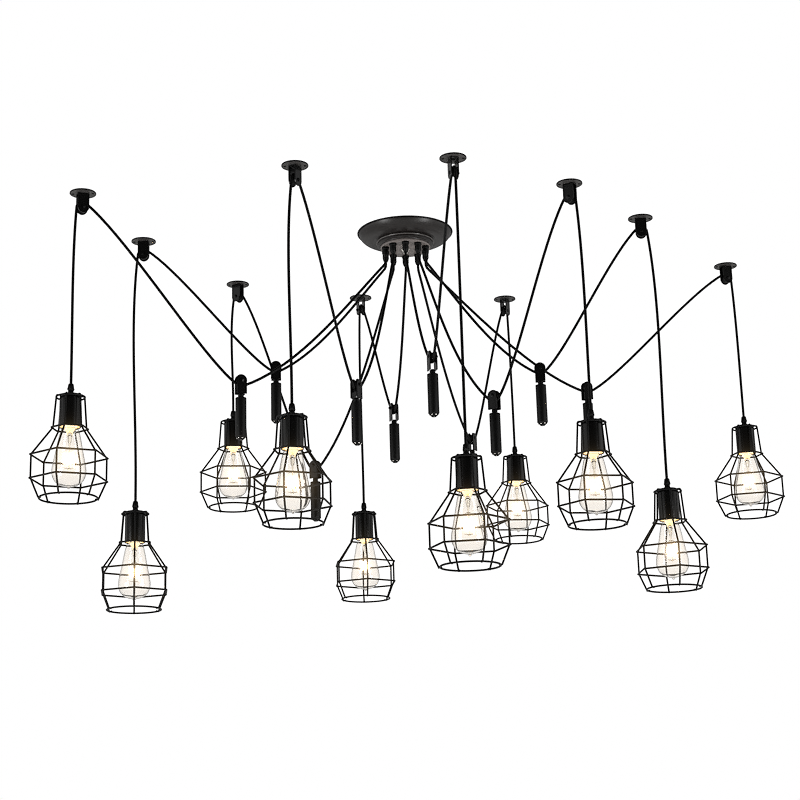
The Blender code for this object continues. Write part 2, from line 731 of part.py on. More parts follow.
def main():
    clear_scene()
    parts = collection("chandelier")
    tools = collection("cutters")
    arms = [Arm(i + 1, shares) for i, shares in enumerate(ARM_SHARES)]
    build_canopy(parts, tools)
    cage = cage_mesh()
    for arm in arms:
        build_hook(arm, parts, tools, material(arm.name("hook_paint"), BLACK_PAINT))
        build_weight(arm, parts, tools, material(arm.name("weight_paint"), BLACK_PAINT))
        build_lamp(arm, parts, tools, material(arm.name("lamp_paint"), BLACK_PAINT), cage)
        wheels = (
            ("hook_wheel", arm.place(arm.hook, -HOOK_AXLE_DROP)),
            ("weight_wheel", arm.place(arm.weight, arm.weight_axle)),
        )
        for wheel, place in wheels:
            finish = material(arm.name(wheel + "_nylon"), BLACK_NYLON)
            build_wheel(arm.name(wheel), parts, place, finish)
    build_cords(arms, parts, tools)


main()
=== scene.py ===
import json
import math

import bmesh
import bpy
import numpy as np
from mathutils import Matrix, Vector

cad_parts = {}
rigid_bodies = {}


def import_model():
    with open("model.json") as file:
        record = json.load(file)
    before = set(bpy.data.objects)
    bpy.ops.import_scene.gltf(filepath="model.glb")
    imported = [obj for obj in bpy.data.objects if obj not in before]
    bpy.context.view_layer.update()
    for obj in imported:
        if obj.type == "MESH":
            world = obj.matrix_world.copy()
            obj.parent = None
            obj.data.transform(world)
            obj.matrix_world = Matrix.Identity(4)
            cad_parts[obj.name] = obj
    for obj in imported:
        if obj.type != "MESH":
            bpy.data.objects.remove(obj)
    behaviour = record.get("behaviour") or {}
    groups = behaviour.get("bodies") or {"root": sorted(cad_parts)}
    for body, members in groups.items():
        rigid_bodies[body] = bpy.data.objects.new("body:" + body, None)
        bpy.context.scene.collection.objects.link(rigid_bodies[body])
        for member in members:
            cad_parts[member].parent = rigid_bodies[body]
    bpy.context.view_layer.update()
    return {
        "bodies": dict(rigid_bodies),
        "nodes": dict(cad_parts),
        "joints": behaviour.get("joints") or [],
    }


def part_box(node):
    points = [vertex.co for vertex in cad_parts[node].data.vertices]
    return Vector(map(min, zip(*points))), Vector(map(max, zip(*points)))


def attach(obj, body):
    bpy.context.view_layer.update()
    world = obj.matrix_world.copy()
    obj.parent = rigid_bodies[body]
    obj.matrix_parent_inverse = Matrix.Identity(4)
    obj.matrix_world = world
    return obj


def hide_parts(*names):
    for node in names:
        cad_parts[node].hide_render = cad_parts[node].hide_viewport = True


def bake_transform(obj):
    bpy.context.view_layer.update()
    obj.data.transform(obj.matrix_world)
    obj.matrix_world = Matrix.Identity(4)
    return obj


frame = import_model()

bl_info = {
    "name": "Pulley chandelier",
    "version": (1, 0, 0),
    "blender": (4, 5, 0),
    "location": "3D View > Sidebar > Chandelier",
    "description": "Builds the looks of a chandelier whose caged lamps hang on pulley cords",
    "category": "Add Mesh",
}

MM = 0.001
DEGREE = math.pi / 180
ARM_COUNT = 10
CAGE_WIRES = 6
UP = np.array((0.0, 0.0, 1.0))
HERE = np.zeros(3)
# Points nearer to each other than this are drawn together
WELD = 0.000001

# How far each lamp's cage is turned about its own axis, in degrees
CAGE_TURNS = (23.0, 39.0, 7.0, 21.5, 35.5, 50.0, 7.5, 7.5, 32.0, 45.5)

# Where each arm's grip sits, counted in tenths of a turn round the plate from the right
GRIP_PLACES = (5.5, 4.5, 3.5, 6.5, 2.5, 7.5, 1.5, 8.5, 9.5, 0.5)

# How far each lamp's cord leans outward where it leaves its wheel, as shares of the most
LEAN_SHARES = (0.3, 0.5, 1.0, 1.0, 0.8, 0.1, 0.3, 0.4, 0.55, 0.25)

# Bulb outline from the holder's mouth to the tip, as shares of its radius and length
BULB_SHARES = (
    (0.45, 0.00),
    (0.52, 0.05),
    (0.60, 0.12),
    (0.69, 0.24),
    (0.785, 0.38),
    (0.88, 0.51),
    (0.96, 0.62),
    (0.998, 0.71),
    (0.96, 0.79),
    (0.82, 0.87),
    (0.58, 0.928),
    (0.30, 0.957),
    (0.13, 0.968),
    (0.085, 0.980),
    (0.060, 0.994),
    (0.0, 1.0),
)

# Canopy dish from its rolled rim to its step, as shares of its radius and depth
DISH_SHARES = (
    (0.962, 0.12),
    (0.945, 0.31),
    (0.915, 0.53),
    (0.870, 0.72),
    (0.800, 0.87),
    (0.720, 0.955),
    (0.662, 0.99),
)


def linear(code):
    """A hex sRGB colour as linear red, green and blue."""
    parts = np.array([int(code[i : i + 2], 16) for i in (1, 3, 5)]) / 255
    low, high = parts / 12.92, ((parts + 0.055) / 1.055) ** 2.4
    return tuple(float(x) for x in np.where(parts <= 0.04045, low, high))


def mm(*points):
    """Points given in millimetres, in metres."""
    return np.array(points, float) * MM


def heights(name):
    """The lowest and highest level of a CAD node."""
    low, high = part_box(name)
    return low.z, high.z


def length(name, default, description):
    return bpy.props.FloatProperty(
        name=name, default=default, description=description, min=0.0, unit="LENGTH"
    )


def angle(name, degrees, description):
    return bpy.props.FloatProperty(
        name=name, default=degrees * DEGREE, description=description, subtype="ANGLE"
    )


def tint(name, code, description):
    return bpy.props.FloatVectorProperty(
        name=name, default=linear(code), description=description,
        subtype="COLOR", size=3, min=0.0, max=1.0,
    )


class CanopySizes(bpy.types.PropertyGroup):
    """Sizes of the ceiling canopy and of the plate that carries the cord grips."""

    radius: length("Radius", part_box("canopy_shell")[1].x, "Outer radius of the dish")
    wall: length("Wall", 0.0012, "Thickness of the spun sheet")
    depth: length("Depth", 0.020, "Drop of the dish from the ceiling to its step")
    step_radius: length("Step radius", 0.059, "Radius of the step under the dish")
    shoulder: length("Shoulder drop", 0.0233, "Drop of the bead round the step's shoulder")
    lip: length("Lip radius", 0.0512, "Radius of the bead round the step's foot")
    step_depth: length("Step depth", 0.0105, "Drop of the step under the dish")
    hole_radius: length("Hole radius", 0.0475, "Radius of the opening under the plate")
    plate_radius: length("Plate radius", 0.051, "Radius of the grip plate")
    plate: length("Plate", 0.0045, "Thickness of the grip plate")
    grip_radius: length("Grip radius", 0.0065, "Radius of a cord grip's body")
    grip_ring: length("Grip ring", 0.043, "Radius of the ring that the cord grips stand on")
    rim: length("Rim bead", 0.0015, "Radius of the rolled rim of the dish")
    bead: length("Step bead", 0.0011, "Radius of the beads round the step and the plate")
    stud: length("Stud radius", 0.004, "Radius of the stud that holds the canopy up")
    nut: length("Nut height", 0.009, "Height of the cap nut under the plate")


class CordSizes(bpy.types.PropertyGroup):
    """Sizes of the lamps' cords."""

    radius: length("Radius", 0.00275, "Half of the cord's diameter")
    on_wheel: length("Wrap radius", 0.01145, "Radius of the cord's middle line on a wheel")
    dip: length("Dip", 0.004, "Straight run of the cord below its grip")
    gland_bend: length("Bend", 0.014, "Radius of the cord's bend below its grip")
    gland_steeper: angle("Leaving", 6, "How much steeper than its straight line it leaves")
    down_flatter: angle("Landing", 20, "How much flatter it comes to the weight's wheel")
    up_flatter: angle("Climbing", 12, "How much flatter it leaves the weight's wheel")
    hook_flatter: angle("Cresting", 8, "How much flatter it comes to the hook's wheel")
    drop_lean: angle("Drop lean", 12, "How far a lamp's cord leans outward off its wheel")
    straight: length("Straight end", 0.012, "Straight end of the cord above the lamp")
    spacing: length("Spacing", 0.006, "Distance between the points of a cord's line")


class HookSizes(bpy.types.PropertyGroup):
    """Sizes of a ceiling hook and of the wheels."""

    rosette: length("Rosette radius", 0.025, "Radius of the plate on the ceiling")
    thick: length("Rosette thickness", 0.002, "Thickness of the plate on the ceiling")
    axle_drop: length("Axle drop", 0.0302, "Distance of the axle below the ceiling")
    strap: length("Strap half width", 0.0112, "Half of the width of the hook's fork")
    end: length("Fork end", 0.0120, "How far the fork's round ends reach below the axle")
    gap: length("Fork gap", 0.0112, "Clear width between the fork's legs")
    plate: length("Fork plate", 0.0022, "Thickness of the fork's strap")
    wheel: length("Wheel radius", 0.0114, "Outer radius of a wheel")
    groove: length("Groove radius", 0.0073, "Radius at the bottom of a wheel's groove")
    wheel_width: length("Wheel width", 0.010, "Width of a wheel across its flanges")
    axle: length("Axle radius", 0.0025, "Radius of an axle")
    head: length("Axle head radius", 0.0042, "Radius of an axle's washer")
    nut: length("Axle nut", 0.0034, "How far an axle's nut stands out of its fork")


class WeightSizes(bpy.types.PropertyGroup):
    """Sizes of a hanging weight."""

    strap: length("Strap half width", 0.010, "Half of the width of the weight's fork")
    fork_drop: length("Fork drop", 0.0275, "Distance of the plates' ends below the axle")
    dome: length("Dome drop", 0.0250, "Distance of the stem's domed top below the axle")
    stem_radius: length("Stem radius", 0.0056, "Radius of the stem between the plates")
    stem: length("Stem length", 0.00745, "Length of the stem under the plates")
    radius: length("Tube radius", 0.0106, "Radius of the weight's tube")
    tube: length("Tube length", 0.083, "Length of the weight's tube")
    tip_radius: length("Tip radius", 0.004, "Radius of the flat end of the weight")
    tip: length("Tip length", 0.007, "Length of the chamfer at the weight's end")


class LampSizes(bpy.types.PropertyGroup):
    """Sizes of a lamp's grip, holder and bulb."""

    grip: length("Grip length", 0.021, "Length of the cord grip above the holder")
    grip_radius: length("Grip radius", 0.0066, "Radius of the cord grip's nut")
    holder_radius: length("Holder radius", 0.020, "Radius of the lamp holder")
    holder: length("Holder length", 0.062, "Length of the lamp holder")
    bulb_radius: length("Bulb radius", 0.0315, "Largest radius of the bulb")
    bulb: length("Bulb length", 0.115, "Length of the bulb below the holder")
    glass: length("Glass wall", 0.0007, "Thickness of the bulb's glass")


class CageSizes(bpy.types.PropertyGroup):
    """Sizes of a lamp's wire cage, with drops measured from the top of the cord grip."""

    wire: length("Wire radius", 0.0018, "Half of the wire's diameter")
    top_radius: length("Top ring radius", 0.0260, "Radius of the ring round the holder")
    neck_radius: length("Neck radius", 0.0308, "Radius of the cage at its neck")
    body_radius: length("Body radius", 0.0692, "Radius of the upright wires at their widest")
    ring_radius: length("Ring radius", 0.0716, "Radius of the body rings at their corners")
    foot_radius: length("Foot radius", 0.0524, "Radius of the bottom ring")
    top_drop: length("Top drop", 0.0228, "Drop of the top ring")
    neck_drop: length("Neck drop", 0.0845, "Drop of the neck ring")
    upper_drop: length("Upper drop", 0.1371, "Drop of the upper body ring")
    lower_drop: length("Lower drop", 0.1810, "Drop of the lower body ring")
    foot_drop: length("Foot drop", 0.2148, "Drop of the bottom ring")


class Finishes(bpy.types.PropertyGroup):
    """Colours of the chandelier's finishes."""

    paint: tint("Paint", "#090909", "Satin black powder coat of the forks and cages")
    enamel: tint("Enamel", "#070707", "Baked black enamel of the holders and weights")
    dish: tint("Canopy paint", "#211D1C", "Satin charcoal paint of the canopy")
    plate: tint("Plate paint", "#857D7A", "Satin grey paint of the grip plate")
    rosette: tint("Rosette paint", "#474544", "Satin grey paint of the rosettes")
    nylon: tint("Nylon", "#0B0B0B", "Moulded black nylon of the wheels and grips")
    cord: tint("Cord", "#060606", "Sheath of the cords")
    glow: tint("Glow", "#FFDDAA", "Light of the filament")
    floor: tint("Floor", "#F6F6F4", "Pale floor of the studio")


GROUPS = {
    "chandelier_canopy": CanopySizes,
    "chandelier_cord": CordSizes,
    "chandelier_hook": HookSizes,
    "chandelier_weight": WeightSizes,
    "chandelier_lamp": LampSizes,
    "chandelier_cage": CageSizes,
    "chandelier_finish": Finishes,
}


# Places read from the frame


class Arm:
    """Where one arm's pieces sit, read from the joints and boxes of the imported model."""

    def __init__(self, number, sizes, ring):
        joints = {joint["name"]: joint for joint in frame["joints"]}
        self.number = number
        over = joints[self.name("hook_wheel") + "_turn"]
        under = joints[self.name("weight_wheel") + "_turn"]
        self.axis = unit(np.array(over["axis"], float))
        self.outward = np.cross(self.axis, UP)
        self.hook = np.array(over["pos_m"], float)
        self.weight = np.array(under["pos_m"], float)
        turn = 2 * math.pi * GRIP_PLACES[number - 1] / ARM_COUNT
        self.grip = ring * np.array((math.cos(turn), math.sin(turn), 0.0))
        self.reach = (self.hook - self.grip) @ self.outward
        low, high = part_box(self.name("lamp"))
        self.lamp = np.array(((low.x + high.x) / 2, (low.y + high.y) / 2, high.z))
        self.lean = LEAN_SHARES[number - 1] * sizes.drop_lean
        self.cage_turn = CAGE_TURNS[number - 1] * DEGREE

    def name(self, piece):
        return f"{piece}_{self.number:02d}"

    def across(self, centre):
        """A place whose third axis is the arm's axle."""
        return placed(centre, self.outward, np.cross(self.axis, self.outward))

    def at(self, line):
        """Points (outward, height) of the arm's plane, in space."""
        line = np.asarray(line, float)
        return self.grip + line[:, :1] * self.outward + line[:, 1:] * UP


def arms():
    scene = bpy.context.scene
    ring = scene.chandelier_canopy.grip_ring
    return [Arm(number + 1, scene.chandelier_cord, ring) for number in range(ARM_COUNT)]


# Shapes


def unit(vectors):
    return vectors / np.linalg.norm(vectors, axis=-1, keepdims=True)


def turns(count):
    return np.linspace(0, 2 * math.pi, count, endpoint=False)


def placed(origin, across=(1, 0, 0), back=(0, 1, 0)):
    """A place as an origin and three axes, the third being across times back."""
    across, back = np.array(across, float), np.array(back, float)
    return np.array(origin, float), np.stack([across, back, np.cross(across, back)])


def drum(radius, start, end, bore=0.0):
    """The outline of a disc or a ring between two levels."""
    return [(bore, start), (radius, start), (radius, end), (bore, end)]


def lathe(profile, sides, place, flats=0):
    """A turned surface: radius r and height z of the profile, carried round by angle a, give
    the point (r cos a, r sin a, z). With flats, r is divided by the cosine of the angle from
    the middle of the flat, which makes a prism of that many sides."""
    profile = np.asarray(profile, float)
    angle = turns(sides)
    radius = np.broadcast_to(profile[:, :1], (len(profile), sides))
    if flats:
        step = 2 * math.pi / flats
        off = (angle + step / 2) % step - step / 2
        radius = radius / np.cos(off) * math.cos(step / 2)
    height = np.broadcast_to(profile[:, 1:], radius.shape)
    local = np.stack([radius * np.cos(angle), radius * np.sin(angle), height], -1)
    origin, axes = place
    return local @ axes + origin, False, True


def hoop(section, sides, place=(HERE, np.eye(3))):
    """A turned surface whose outline closes on itself, such as a ring or a pierced disc."""
    return lathe(section, sides, place)[0], True, True


def tube(path, reference, radius, sides, closed=False):
    """A round tube: at each point of the path a circle of the given radius stands square to
    the path's direction, which is the mean of the unit steps before and after the point."""
    path = np.asarray(path, float)
    steps = unit(np.roll(path, -1, 0) - path)
    before = np.roll(steps, 1, 0)
    if not closed:
        steps[-1], before[0] = steps[-2], steps[0]
    along = unit(steps + before)
    side = unit(np.cross(along, reference))
    up = np.cross(side, along)
    radius = np.broadcast_to(np.asarray(radius, float), (len(path),))
    if not closed:
        path, side, up = (np.concatenate([x[:1], x, x[-1:]]) for x in (path, side, up))
        radius = np.concatenate([[0.0], radius, [0.0]])
    angle = turns(sides)[None, :, None]
    ring = np.cos(angle) * side[:, None] + np.sin(angle) * up[:, None]
    return path[:, None] + radius[:, None, None] * ring, closed, True


def strap(path, across, half_widths, thickness, edge):
    """A bent strip: at each point of the path stands a rounded rectangle, as wide as the
    half width there and as thick as the strip, with its edges eased by a small bevel."""
    path = np.asarray(path, float)
    steps = unit(np.roll(path, -1, 0) - path)
    steps[-1] = steps[-2]
    before = np.roll(steps, 1, 0)
    before[0] = steps[0]
    face = unit(np.cross(unit(steps + before), across))
    half = thickness / 2
    wide = np.asarray(half_widths, float)[:, None]
    eased = np.minimum(edge, wide)
    across_by = np.concatenate(
        [wide - eased, wide, wide, wide - eased, eased - wide, -wide, -wide, eased - wide], 1
    )
    out_by = half * np.array([1, 1, -1, -1, -1, -1, 1, 1]) - edge * np.array(
        [0, 1, -1, 0, 0, -1, 1, 0]
    )
    points = (
        path[:, None]
        + across_by[..., None] * np.asarray(across, float)
        + out_by[None, :, None] * face[:, None]
    )
    first, last = path[:1, None] + 0 * points[:1], path[-1:, None] + 0 * points[-1:]
    return np.concatenate([first, points, last]), False, True


def ball(centre, radius, sides=10, rows=6):
    """A sphere: radius times (cos h cos a, cos h sin a, sin h), with the height angle h."""
    height = np.linspace(-math.pi / 2, math.pi / 2, rows)
    profile = np.stack([np.cos(height), np.sin(height)], 1) * radius
    profile[[0, -1], 0] = 0.0
    return lathe(profile, sides, placed(centre))


def rounded(points, radius, steps=4, closed=False):
    """A line whose corners are eased: each corner becomes a quadratic curve that leaves the
    straight runs at the distance where an arc of the radius would touch them."""
    points = np.asarray(points, float)
    count = len(points)
    eased = [] if closed else [points[:1]]
    share = np.linspace(0, 1, steps + 1)[:, None]
    for i in range(0 if closed else 1, count if closed else count - 1):
        before, corner, after = points[i - 1], points[i], points[(i + 1) % count]
        back, ahead = before - corner, after - corner
        back_run, ahead_run = np.linalg.norm(back), np.linalg.norm(ahead)
        cosine = np.clip((back @ ahead) / (back_run * ahead_run), -1, 1)
        half = np.arccos(cosine) / 2
        reach = min(radius / max(math.tan(half), 0.05), 0.49 * back_run, 0.49 * ahead_run)
        start, end = corner + back / back_run * reach, corner + ahead / ahead_run * reach
        eased.append(
            (1 - share) ** 2 * start + 2 * share * (1 - share) * corner + share**2 * end
        )
    if not closed:
        eased.append(points[-1:])
    return np.concatenate(eased)


def smooth(points, steps=5):
    """A curve through the points: each span is the cubic whose slopes at its ends are half
    of the step from the point before to the point after."""
    points = np.asarray(points, float)
    padded = np.concatenate([2 * points[:1] - points[1:2], points, 2 * points[-1:] - points[-2:-1]])
    a, b, c, d = padded[:-3], padded[1:-2], padded[2:-1], padded[3:]
    t = np.linspace(0, 1, steps, endpoint=False)[:, None, None]
    curve = b + t / 2 * (c - a + t * (2 * a - 5 * b + 4 * c - d + t * (3 * b - a - 3 * c + d)))
    curve = curve.transpose(1, 0, 2).reshape(-1, points.shape[1])
    return np.concatenate([curve, points[-1:]])


def inset(profile, wall):
    """The profile moved square to itself, towards its axis, by the wall's thickness."""
    profile = np.asarray(profile, float)
    along = unit(np.gradient(profile, axis=0))
    moved = profile + wall * np.stack([along[:, 1], -along[:, 0]], 1)
    moved[:, 0] = np.maximum(moved[:, 0], 0.0)
    return moved


def even(path, spacing):
    """The path's points again, evenly spaced along it."""
    path = np.asarray(path, float)
    run = np.concatenate([[0.0], np.cumsum(np.linalg.norm(np.diff(path, axis=0), axis=1))])
    count = max(int(round(run[-1] / spacing)), 4)
    wanted = np.linspace(0, run[-1], count + 1)
    return np.stack([np.interp(wanted, run, path[:, i]) for i in range(path.shape[1])], 1)


def circle(radius, count, start=0.0, height=None):
    """Points round the axis, on a plane, or at a height in space."""
    angle = turns(count) + start
    line = np.stack([radius * np.cos(angle), radius * np.sin(angle)], 1)
    return line if height is None else np.pad(line, ((0, 0), (0, 1))) + (0, 0, height)


def build(name, surfaces, finish, sharp):
    """A mesh object of closed surfaces, each a grid of points whose poles are drawn together.
    Faces point outwards, and edges sharper than the limit stay crisp."""
    points, faces, count = [], [], 0
    for grid, wrap_rows, wrap_columns in surfaces:
        index = np.arange(grid.shape[0] * grid.shape[1]).reshape(grid.shape[:2]) + count
        index = np.concatenate([index, index[:1]]) if wrap_rows else index
        index = np.concatenate([index, index[:, :1]], 1) if wrap_columns else index
        corners = index[:-1, :-1], index[1:, :-1], index[1:, 1:], index[:-1, 1:]
        faces.append(np.stack(corners, -1).reshape(-1, 4))
        points.append(grid.reshape(-1, 3))
        count += len(points[-1])
    mesh = bpy.data.meshes.new(name)
    mesh.from_pydata(np.concatenate(points), [], np.concatenate(faces))
    shape = bmesh.new()
    shape.from_mesh(mesh)
    bmesh.ops.remove_doubles(shape, verts=shape.verts, dist=WELD)
    bmesh.ops.recalc_face_normals(shape, faces=shape.faces)
    shape.to_mesh(mesh)
    shape.free()
    mesh.polygons.foreach_set("use_smooth", np.ones(len(mesh.polygons), bool))
    mesh.set_sharp_from_angle(angle=sharp * DEGREE)
    mesh.materials.append(finish)
    made = bpy.data.objects.new(name, mesh)
    bpy.context.scene.collection.objects.link(made)
    return made


# Finishes


def node(tree, kind, settings=None, inputs=None, family="ShaderNode"):
    """Adds a node, with its settings, and with values or links for its inputs."""
    made = tree.nodes.new(family + kind)
    for key, value in (settings or {}).items():
        setattr(made, key, value)
    for key, value in (inputs or {}).items():
        if isinstance(value, bpy.types.NodeSocket):
            tree.links.new(value, made.inputs[key])
        else:
            made.inputs[key].default_value = value
    return made


def blank(name):
    """A new material with its principled shader."""
    made = bpy.data.materials.new(name)
    made.use_nodes = True
    return made, made.node_tree, made.node_tree.nodes["Principled BSDF"]


def coat(name, colour, metallic, rough, grain, relief, shade=0.1, specular=0.5):
    """A coated, moulded or plated surface. Grain is the size of its mottle in millimetres,
    relief the depth of its bumps in millimetres, and shade how much its colour wanders."""
    made, tree, shader = blank(name)
    shader.inputs["Metallic"].default_value = metallic
    shader.inputs["Specular IOR Level"].default_value = specular
    where = node(tree, "TexCoord").outputs["Object"]
    fine = node(
        tree, "TexNoise", {}, {"Vector": where, "Scale": 1 / (grain * MM), "Detail": 3.0}
    ).outputs["Fac"]
    broad = node(
        tree, "TexNoise", {}, {"Vector": where, "Scale": 1 / (14 * grain * MM), "Detail": 2.0}
    ).outputs["Fac"]
    light = tuple(min(1.0, x * (1 + shade)) for x in colour)
    dark = tuple(x * (1 - shade) for x in colour)
    blend = node(
        tree, "Mix", {"data_type": "RGBA"},
        {"Factor": broad, "A": (*dark, 1.0), "B": (*light, 1.0)},
    )
    tree.links.new(blend.outputs["Result"], shader.inputs["Base Color"])
    spread = node(
        tree, "MapRange", {},
        {"Value": fine, "From Min": 0.3, "From Max": 0.7, "To Min": rough[0], "To Max": rough[1]},
    )
    tree.links.new(spread.outputs["Result"], shader.inputs["Roughness"])
    bump = node(tree, "Bump", {}, {"Height": fine, "Distance": relief * MM, "Strength": 0.6})
    tree.links.new(bump.outputs["Normal"], shader.inputs["Normal"])
    return made


def dress(name, surfaces, finish, body, cad=None, stands=True, slotted=True, sharp=35.0):
    """Builds a piece that goes with the body. Where a CAD node is given, the piece stands in for
    it, and the node is hidden."""
    made = build(name, surfaces, FINISH[finish], sharp)
    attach(made, body)
    if cad and stands:
        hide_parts(cad)
    return made


# The coated, moulded and plated finishes: short name, material, a hex colour or the name of
# a colour in the panel, metallic, the range of roughness, grain and relief in millimetres,
# shade, and specular where it is not the usual half
COATS = (
    # Powder coat on steel: near black, satin, with a fine orange peel that softens lights
    ("paint", "powder_coated_steel_black", "paint", 0.0, (0.38, 0.5), 1.6, 0.02, 0.1, 0.3),
    # Baked enamel on turned steel: black and smooth, so lights draw out into narrow stripes
    ("enamel", "baked_enamel_steel_black", "enamel", 0.0, (0.22, 0.28), 2.2, 0.0, 0.1, 0.35),
    # Oil blackened steel of the weights: nearly black, with a weak broad sheen
    ("blackened", "oil_blackened_steel", "enamel", 0.0, (0.40, 0.5), 2.2, 0.01, 0.1, 0.3),
    # Sprayed paint on spun steel: satin charcoal, with long soft bands of light
    ("dish", "spun_steel_charcoal_paint", "dish", 0.0, (0.3, 0.36), 2.6, 0.01, 0.05),
    # The same charcoal paint on the rolled beads, drawn lighter as a painted highlight so that they
    # show as bright lines
    ("bead", "rubbed_charcoal_paint_on_rolled_bead", "#5E5A58", 0.0, (0.25, 0.3), 2.0, 0.0,
     0.06, 0.7),
    # The same paint on flat pressed plates, a shade lighter
    ("plate", "pressed_steel_grey_paint", "plate", 0.0, (0.34, 0.42), 1.8, 0.0, 0.06),
    ("rosette", "pressed_steel_dark_grey_paint", "rosette", 0.0, (0.4, 0.46), 1.8, 0.0, 0.06),
    # Gloss paint on the forks, whose edges and round ends catch the light
    ("gloss", "gloss_painted_steel_black", "paint", 0.0, (0.2, 0.28), 2.0, 0.0, 0.1, 0.35),
    # Moulded polyamide: dark, with a dull sheen and a faint moulded grain
    ("nylon", "moulded_nylon_black", "nylon", 0.0, (0.42, 0.52), 0.9, 0.01, 0.1, 0.2),
    # Extruded PVC sheath: smooth soft black with a weak, even sheen
    ("cord", "pvc_cord_sheath_black", "cord", 0.0, (0.5, 0.56), 1.6, 0.0, 0.1, 0.2),
    # Zinc plated steel: pale grey and blotchy, seen only inside the canopy
    ("zinc", "zinc_plated_steel", "#B9BCC0", 1.0, (0.30, 0.44), 2.0, 0.02),
    # Nickel plate: bright, slightly warm, nearly smooth
    ("nickel", "nickel_plated_brass", "#E4E0D9", 1.0, (0.08, 0.14), 2.0, 0.01),
    # Pressed brass of the terminal screws: yellow, with fine forming marks
    ("brass", "pressed_brass", "#DDB566", 1.0, (0.22, 0.34), 1.5, 0.02),
    # Pressed brass of the bulb's cap, seen lit up by the filament through the glass
    ("cap", "lit_brass_cap", "#EBD6A0", 1.0, (0.3, 0.4), 1.5, 0.02),
    # Glazed porcelain inside the holder's mouth: warm white, which the filament turns golden
    ("porcelain", "glazed_porcelain", "#EADCBD", 0.0, (0.15, 0.22), 3.0, 0.01),
    # Moulded white polyamide of the terminal block
    ("block", "moulded_nylon_white", "#E2DFD6", 0.0, (0.38, 0.5), 1.0, 0.02),
    # Drawn nickel wire inside the bulb
    ("wire", "drawn_nickel_wire", "#9C968C", 1.0, (0.25, 0.35), 0.8, 0.01),
)
# Light thrown back by the cap and the porcelain, which sit close to the filament, and the
# strength of the filament's own light
CAP_LIGHT, PORCELAIN_LIGHT = ("#FFF1D6", 0.85), ("#E3AE55", 0.9)
GLOW_STRENGTH = 60.0


def make_finishes():
    """The chandelier's finishes by their short names."""
    hues = bpy.context.scene.chandelier_finish
    made = {}
    for key, name, hue, *values in COATS:
        colour = linear(hue) if hue.startswith("#") else getattr(hues, hue)
        made[key] = coat(name, colour, *values)
    for key, (code, strength) in (("cap", CAP_LIGHT), ("porcelain", PORCELAIN_LIGHT)):
        lit(made[key], linear(code), strength)
    # The bulb's glass and its stem are tinted faintly warm: painted light, standing in for the
    # filament's warm glow in them
    made["glass"] = glass("blown_soda_lime_glass", "#FDFAF6")
    made["stem"] = glass("drawn_lead_glass", "#FFFAF0")
    made["glow"] = glowing("carbon_filament", hues.glow, GLOW_STRENGTH)
    return made


def lit(material, colour, strength):
    """Adds the light that a surface close to the filament throws back."""
    shader = material.node_tree.nodes["Principled BSDF"]
    shader.inputs["Emission Color"].default_value = (*colour, 1.0)
    shader.inputs["Emission Strength"].default_value = strength
    material.cycles.emission_sampling = "NONE"


def glass(name, code):
    """Clear glass with the faint waves that blowing leaves, about 20 mm long."""
    made, tree, shader = blank(name)
    shader.inputs["Base Color"].default_value = (*linear(code), 1.0)
    shader.inputs["Roughness"].default_value = 0.0
    shader.inputs["IOR"].default_value = 1.4
    shader.inputs["Transmission Weight"].default_value = 1.0
    where = node(tree, "TexCoord").outputs["Object"]
    waves = node(tree, "TexNoise", {}, {"Vector": where, "Scale": 1 / (20 * MM), "Detail": 1.0})
    bump = node(
        tree, "Bump", {},
        {"Height": waves.outputs["Fac"], "Distance": 0.2 * MM, "Strength": 0.4},
    )
    tree.links.new(bump.outputs["Normal"], shader.inputs["Normal"])
    return made


def glowing(name, colour, strength):
    """A lit filament: its surface shines far brighter than anything round it."""
    made, _, shader = blank(name)
    shader.inputs["Base Color"].default_value = (0.02, 0.01, 0.005, 1.0)
    lit(made, colour, strength)
    return made


# The finishes by their short names, made when the script runs
FINISH = {}


# Cords


def eased(start, leaving, leave_share, arriving, arrive_share, end, count=20):
    """A cubic curve between two points of the arm's plane. It leaves and arrives at these
    slopes, and its two handles are these shares of the span."""
    start, end = np.array(start, float), np.array(end, float)
    span = np.linalg.norm(end - start)
    leave = start + span * leave_share * np.array((math.cos(leaving), math.sin(leaving)))
    arrive = end - span * arrive_share * np.array((math.cos(arriving), math.sin(arriving)))
    return bezier(start, leave, arrive, end, count)


def bezier(start, leave, arrive, end, count=20):
    """A cubic curve from start to end with the two handles between them."""
    t = np.linspace(0, 1, count)[:, None]
    return (
        (1 - t) ** 3 * start
        + 3 * t * (1 - t) ** 2 * leave
        + 3 * t**2 * (1 - t) * arrive
        + t**3 * end
    )


def arc(centre, radius, start, end, count=14):
    """Points (outward, height) round a centre, between two angles."""
    angle = np.linspace(start, end, count)
    return np.array(centre) + radius * np.stack([np.cos(angle), np.sin(angle)], 1)


# How much of each stretch of cord bends at its start and at its end
GLAND_BEND_SHARE = 0.28
DOWN_BEND_SHARE = 0.30
UP_BEND_SHARE = 0.18
HOOK_BEND_SHARE = 0.24
DROP_LEAVE_SHARE = 0.30
DROP_ARRIVE_SHARE = 0.35

SHEATH_TOP = -0.020
CORD_SIDES = 14
LAMP_BORE = 0.0111


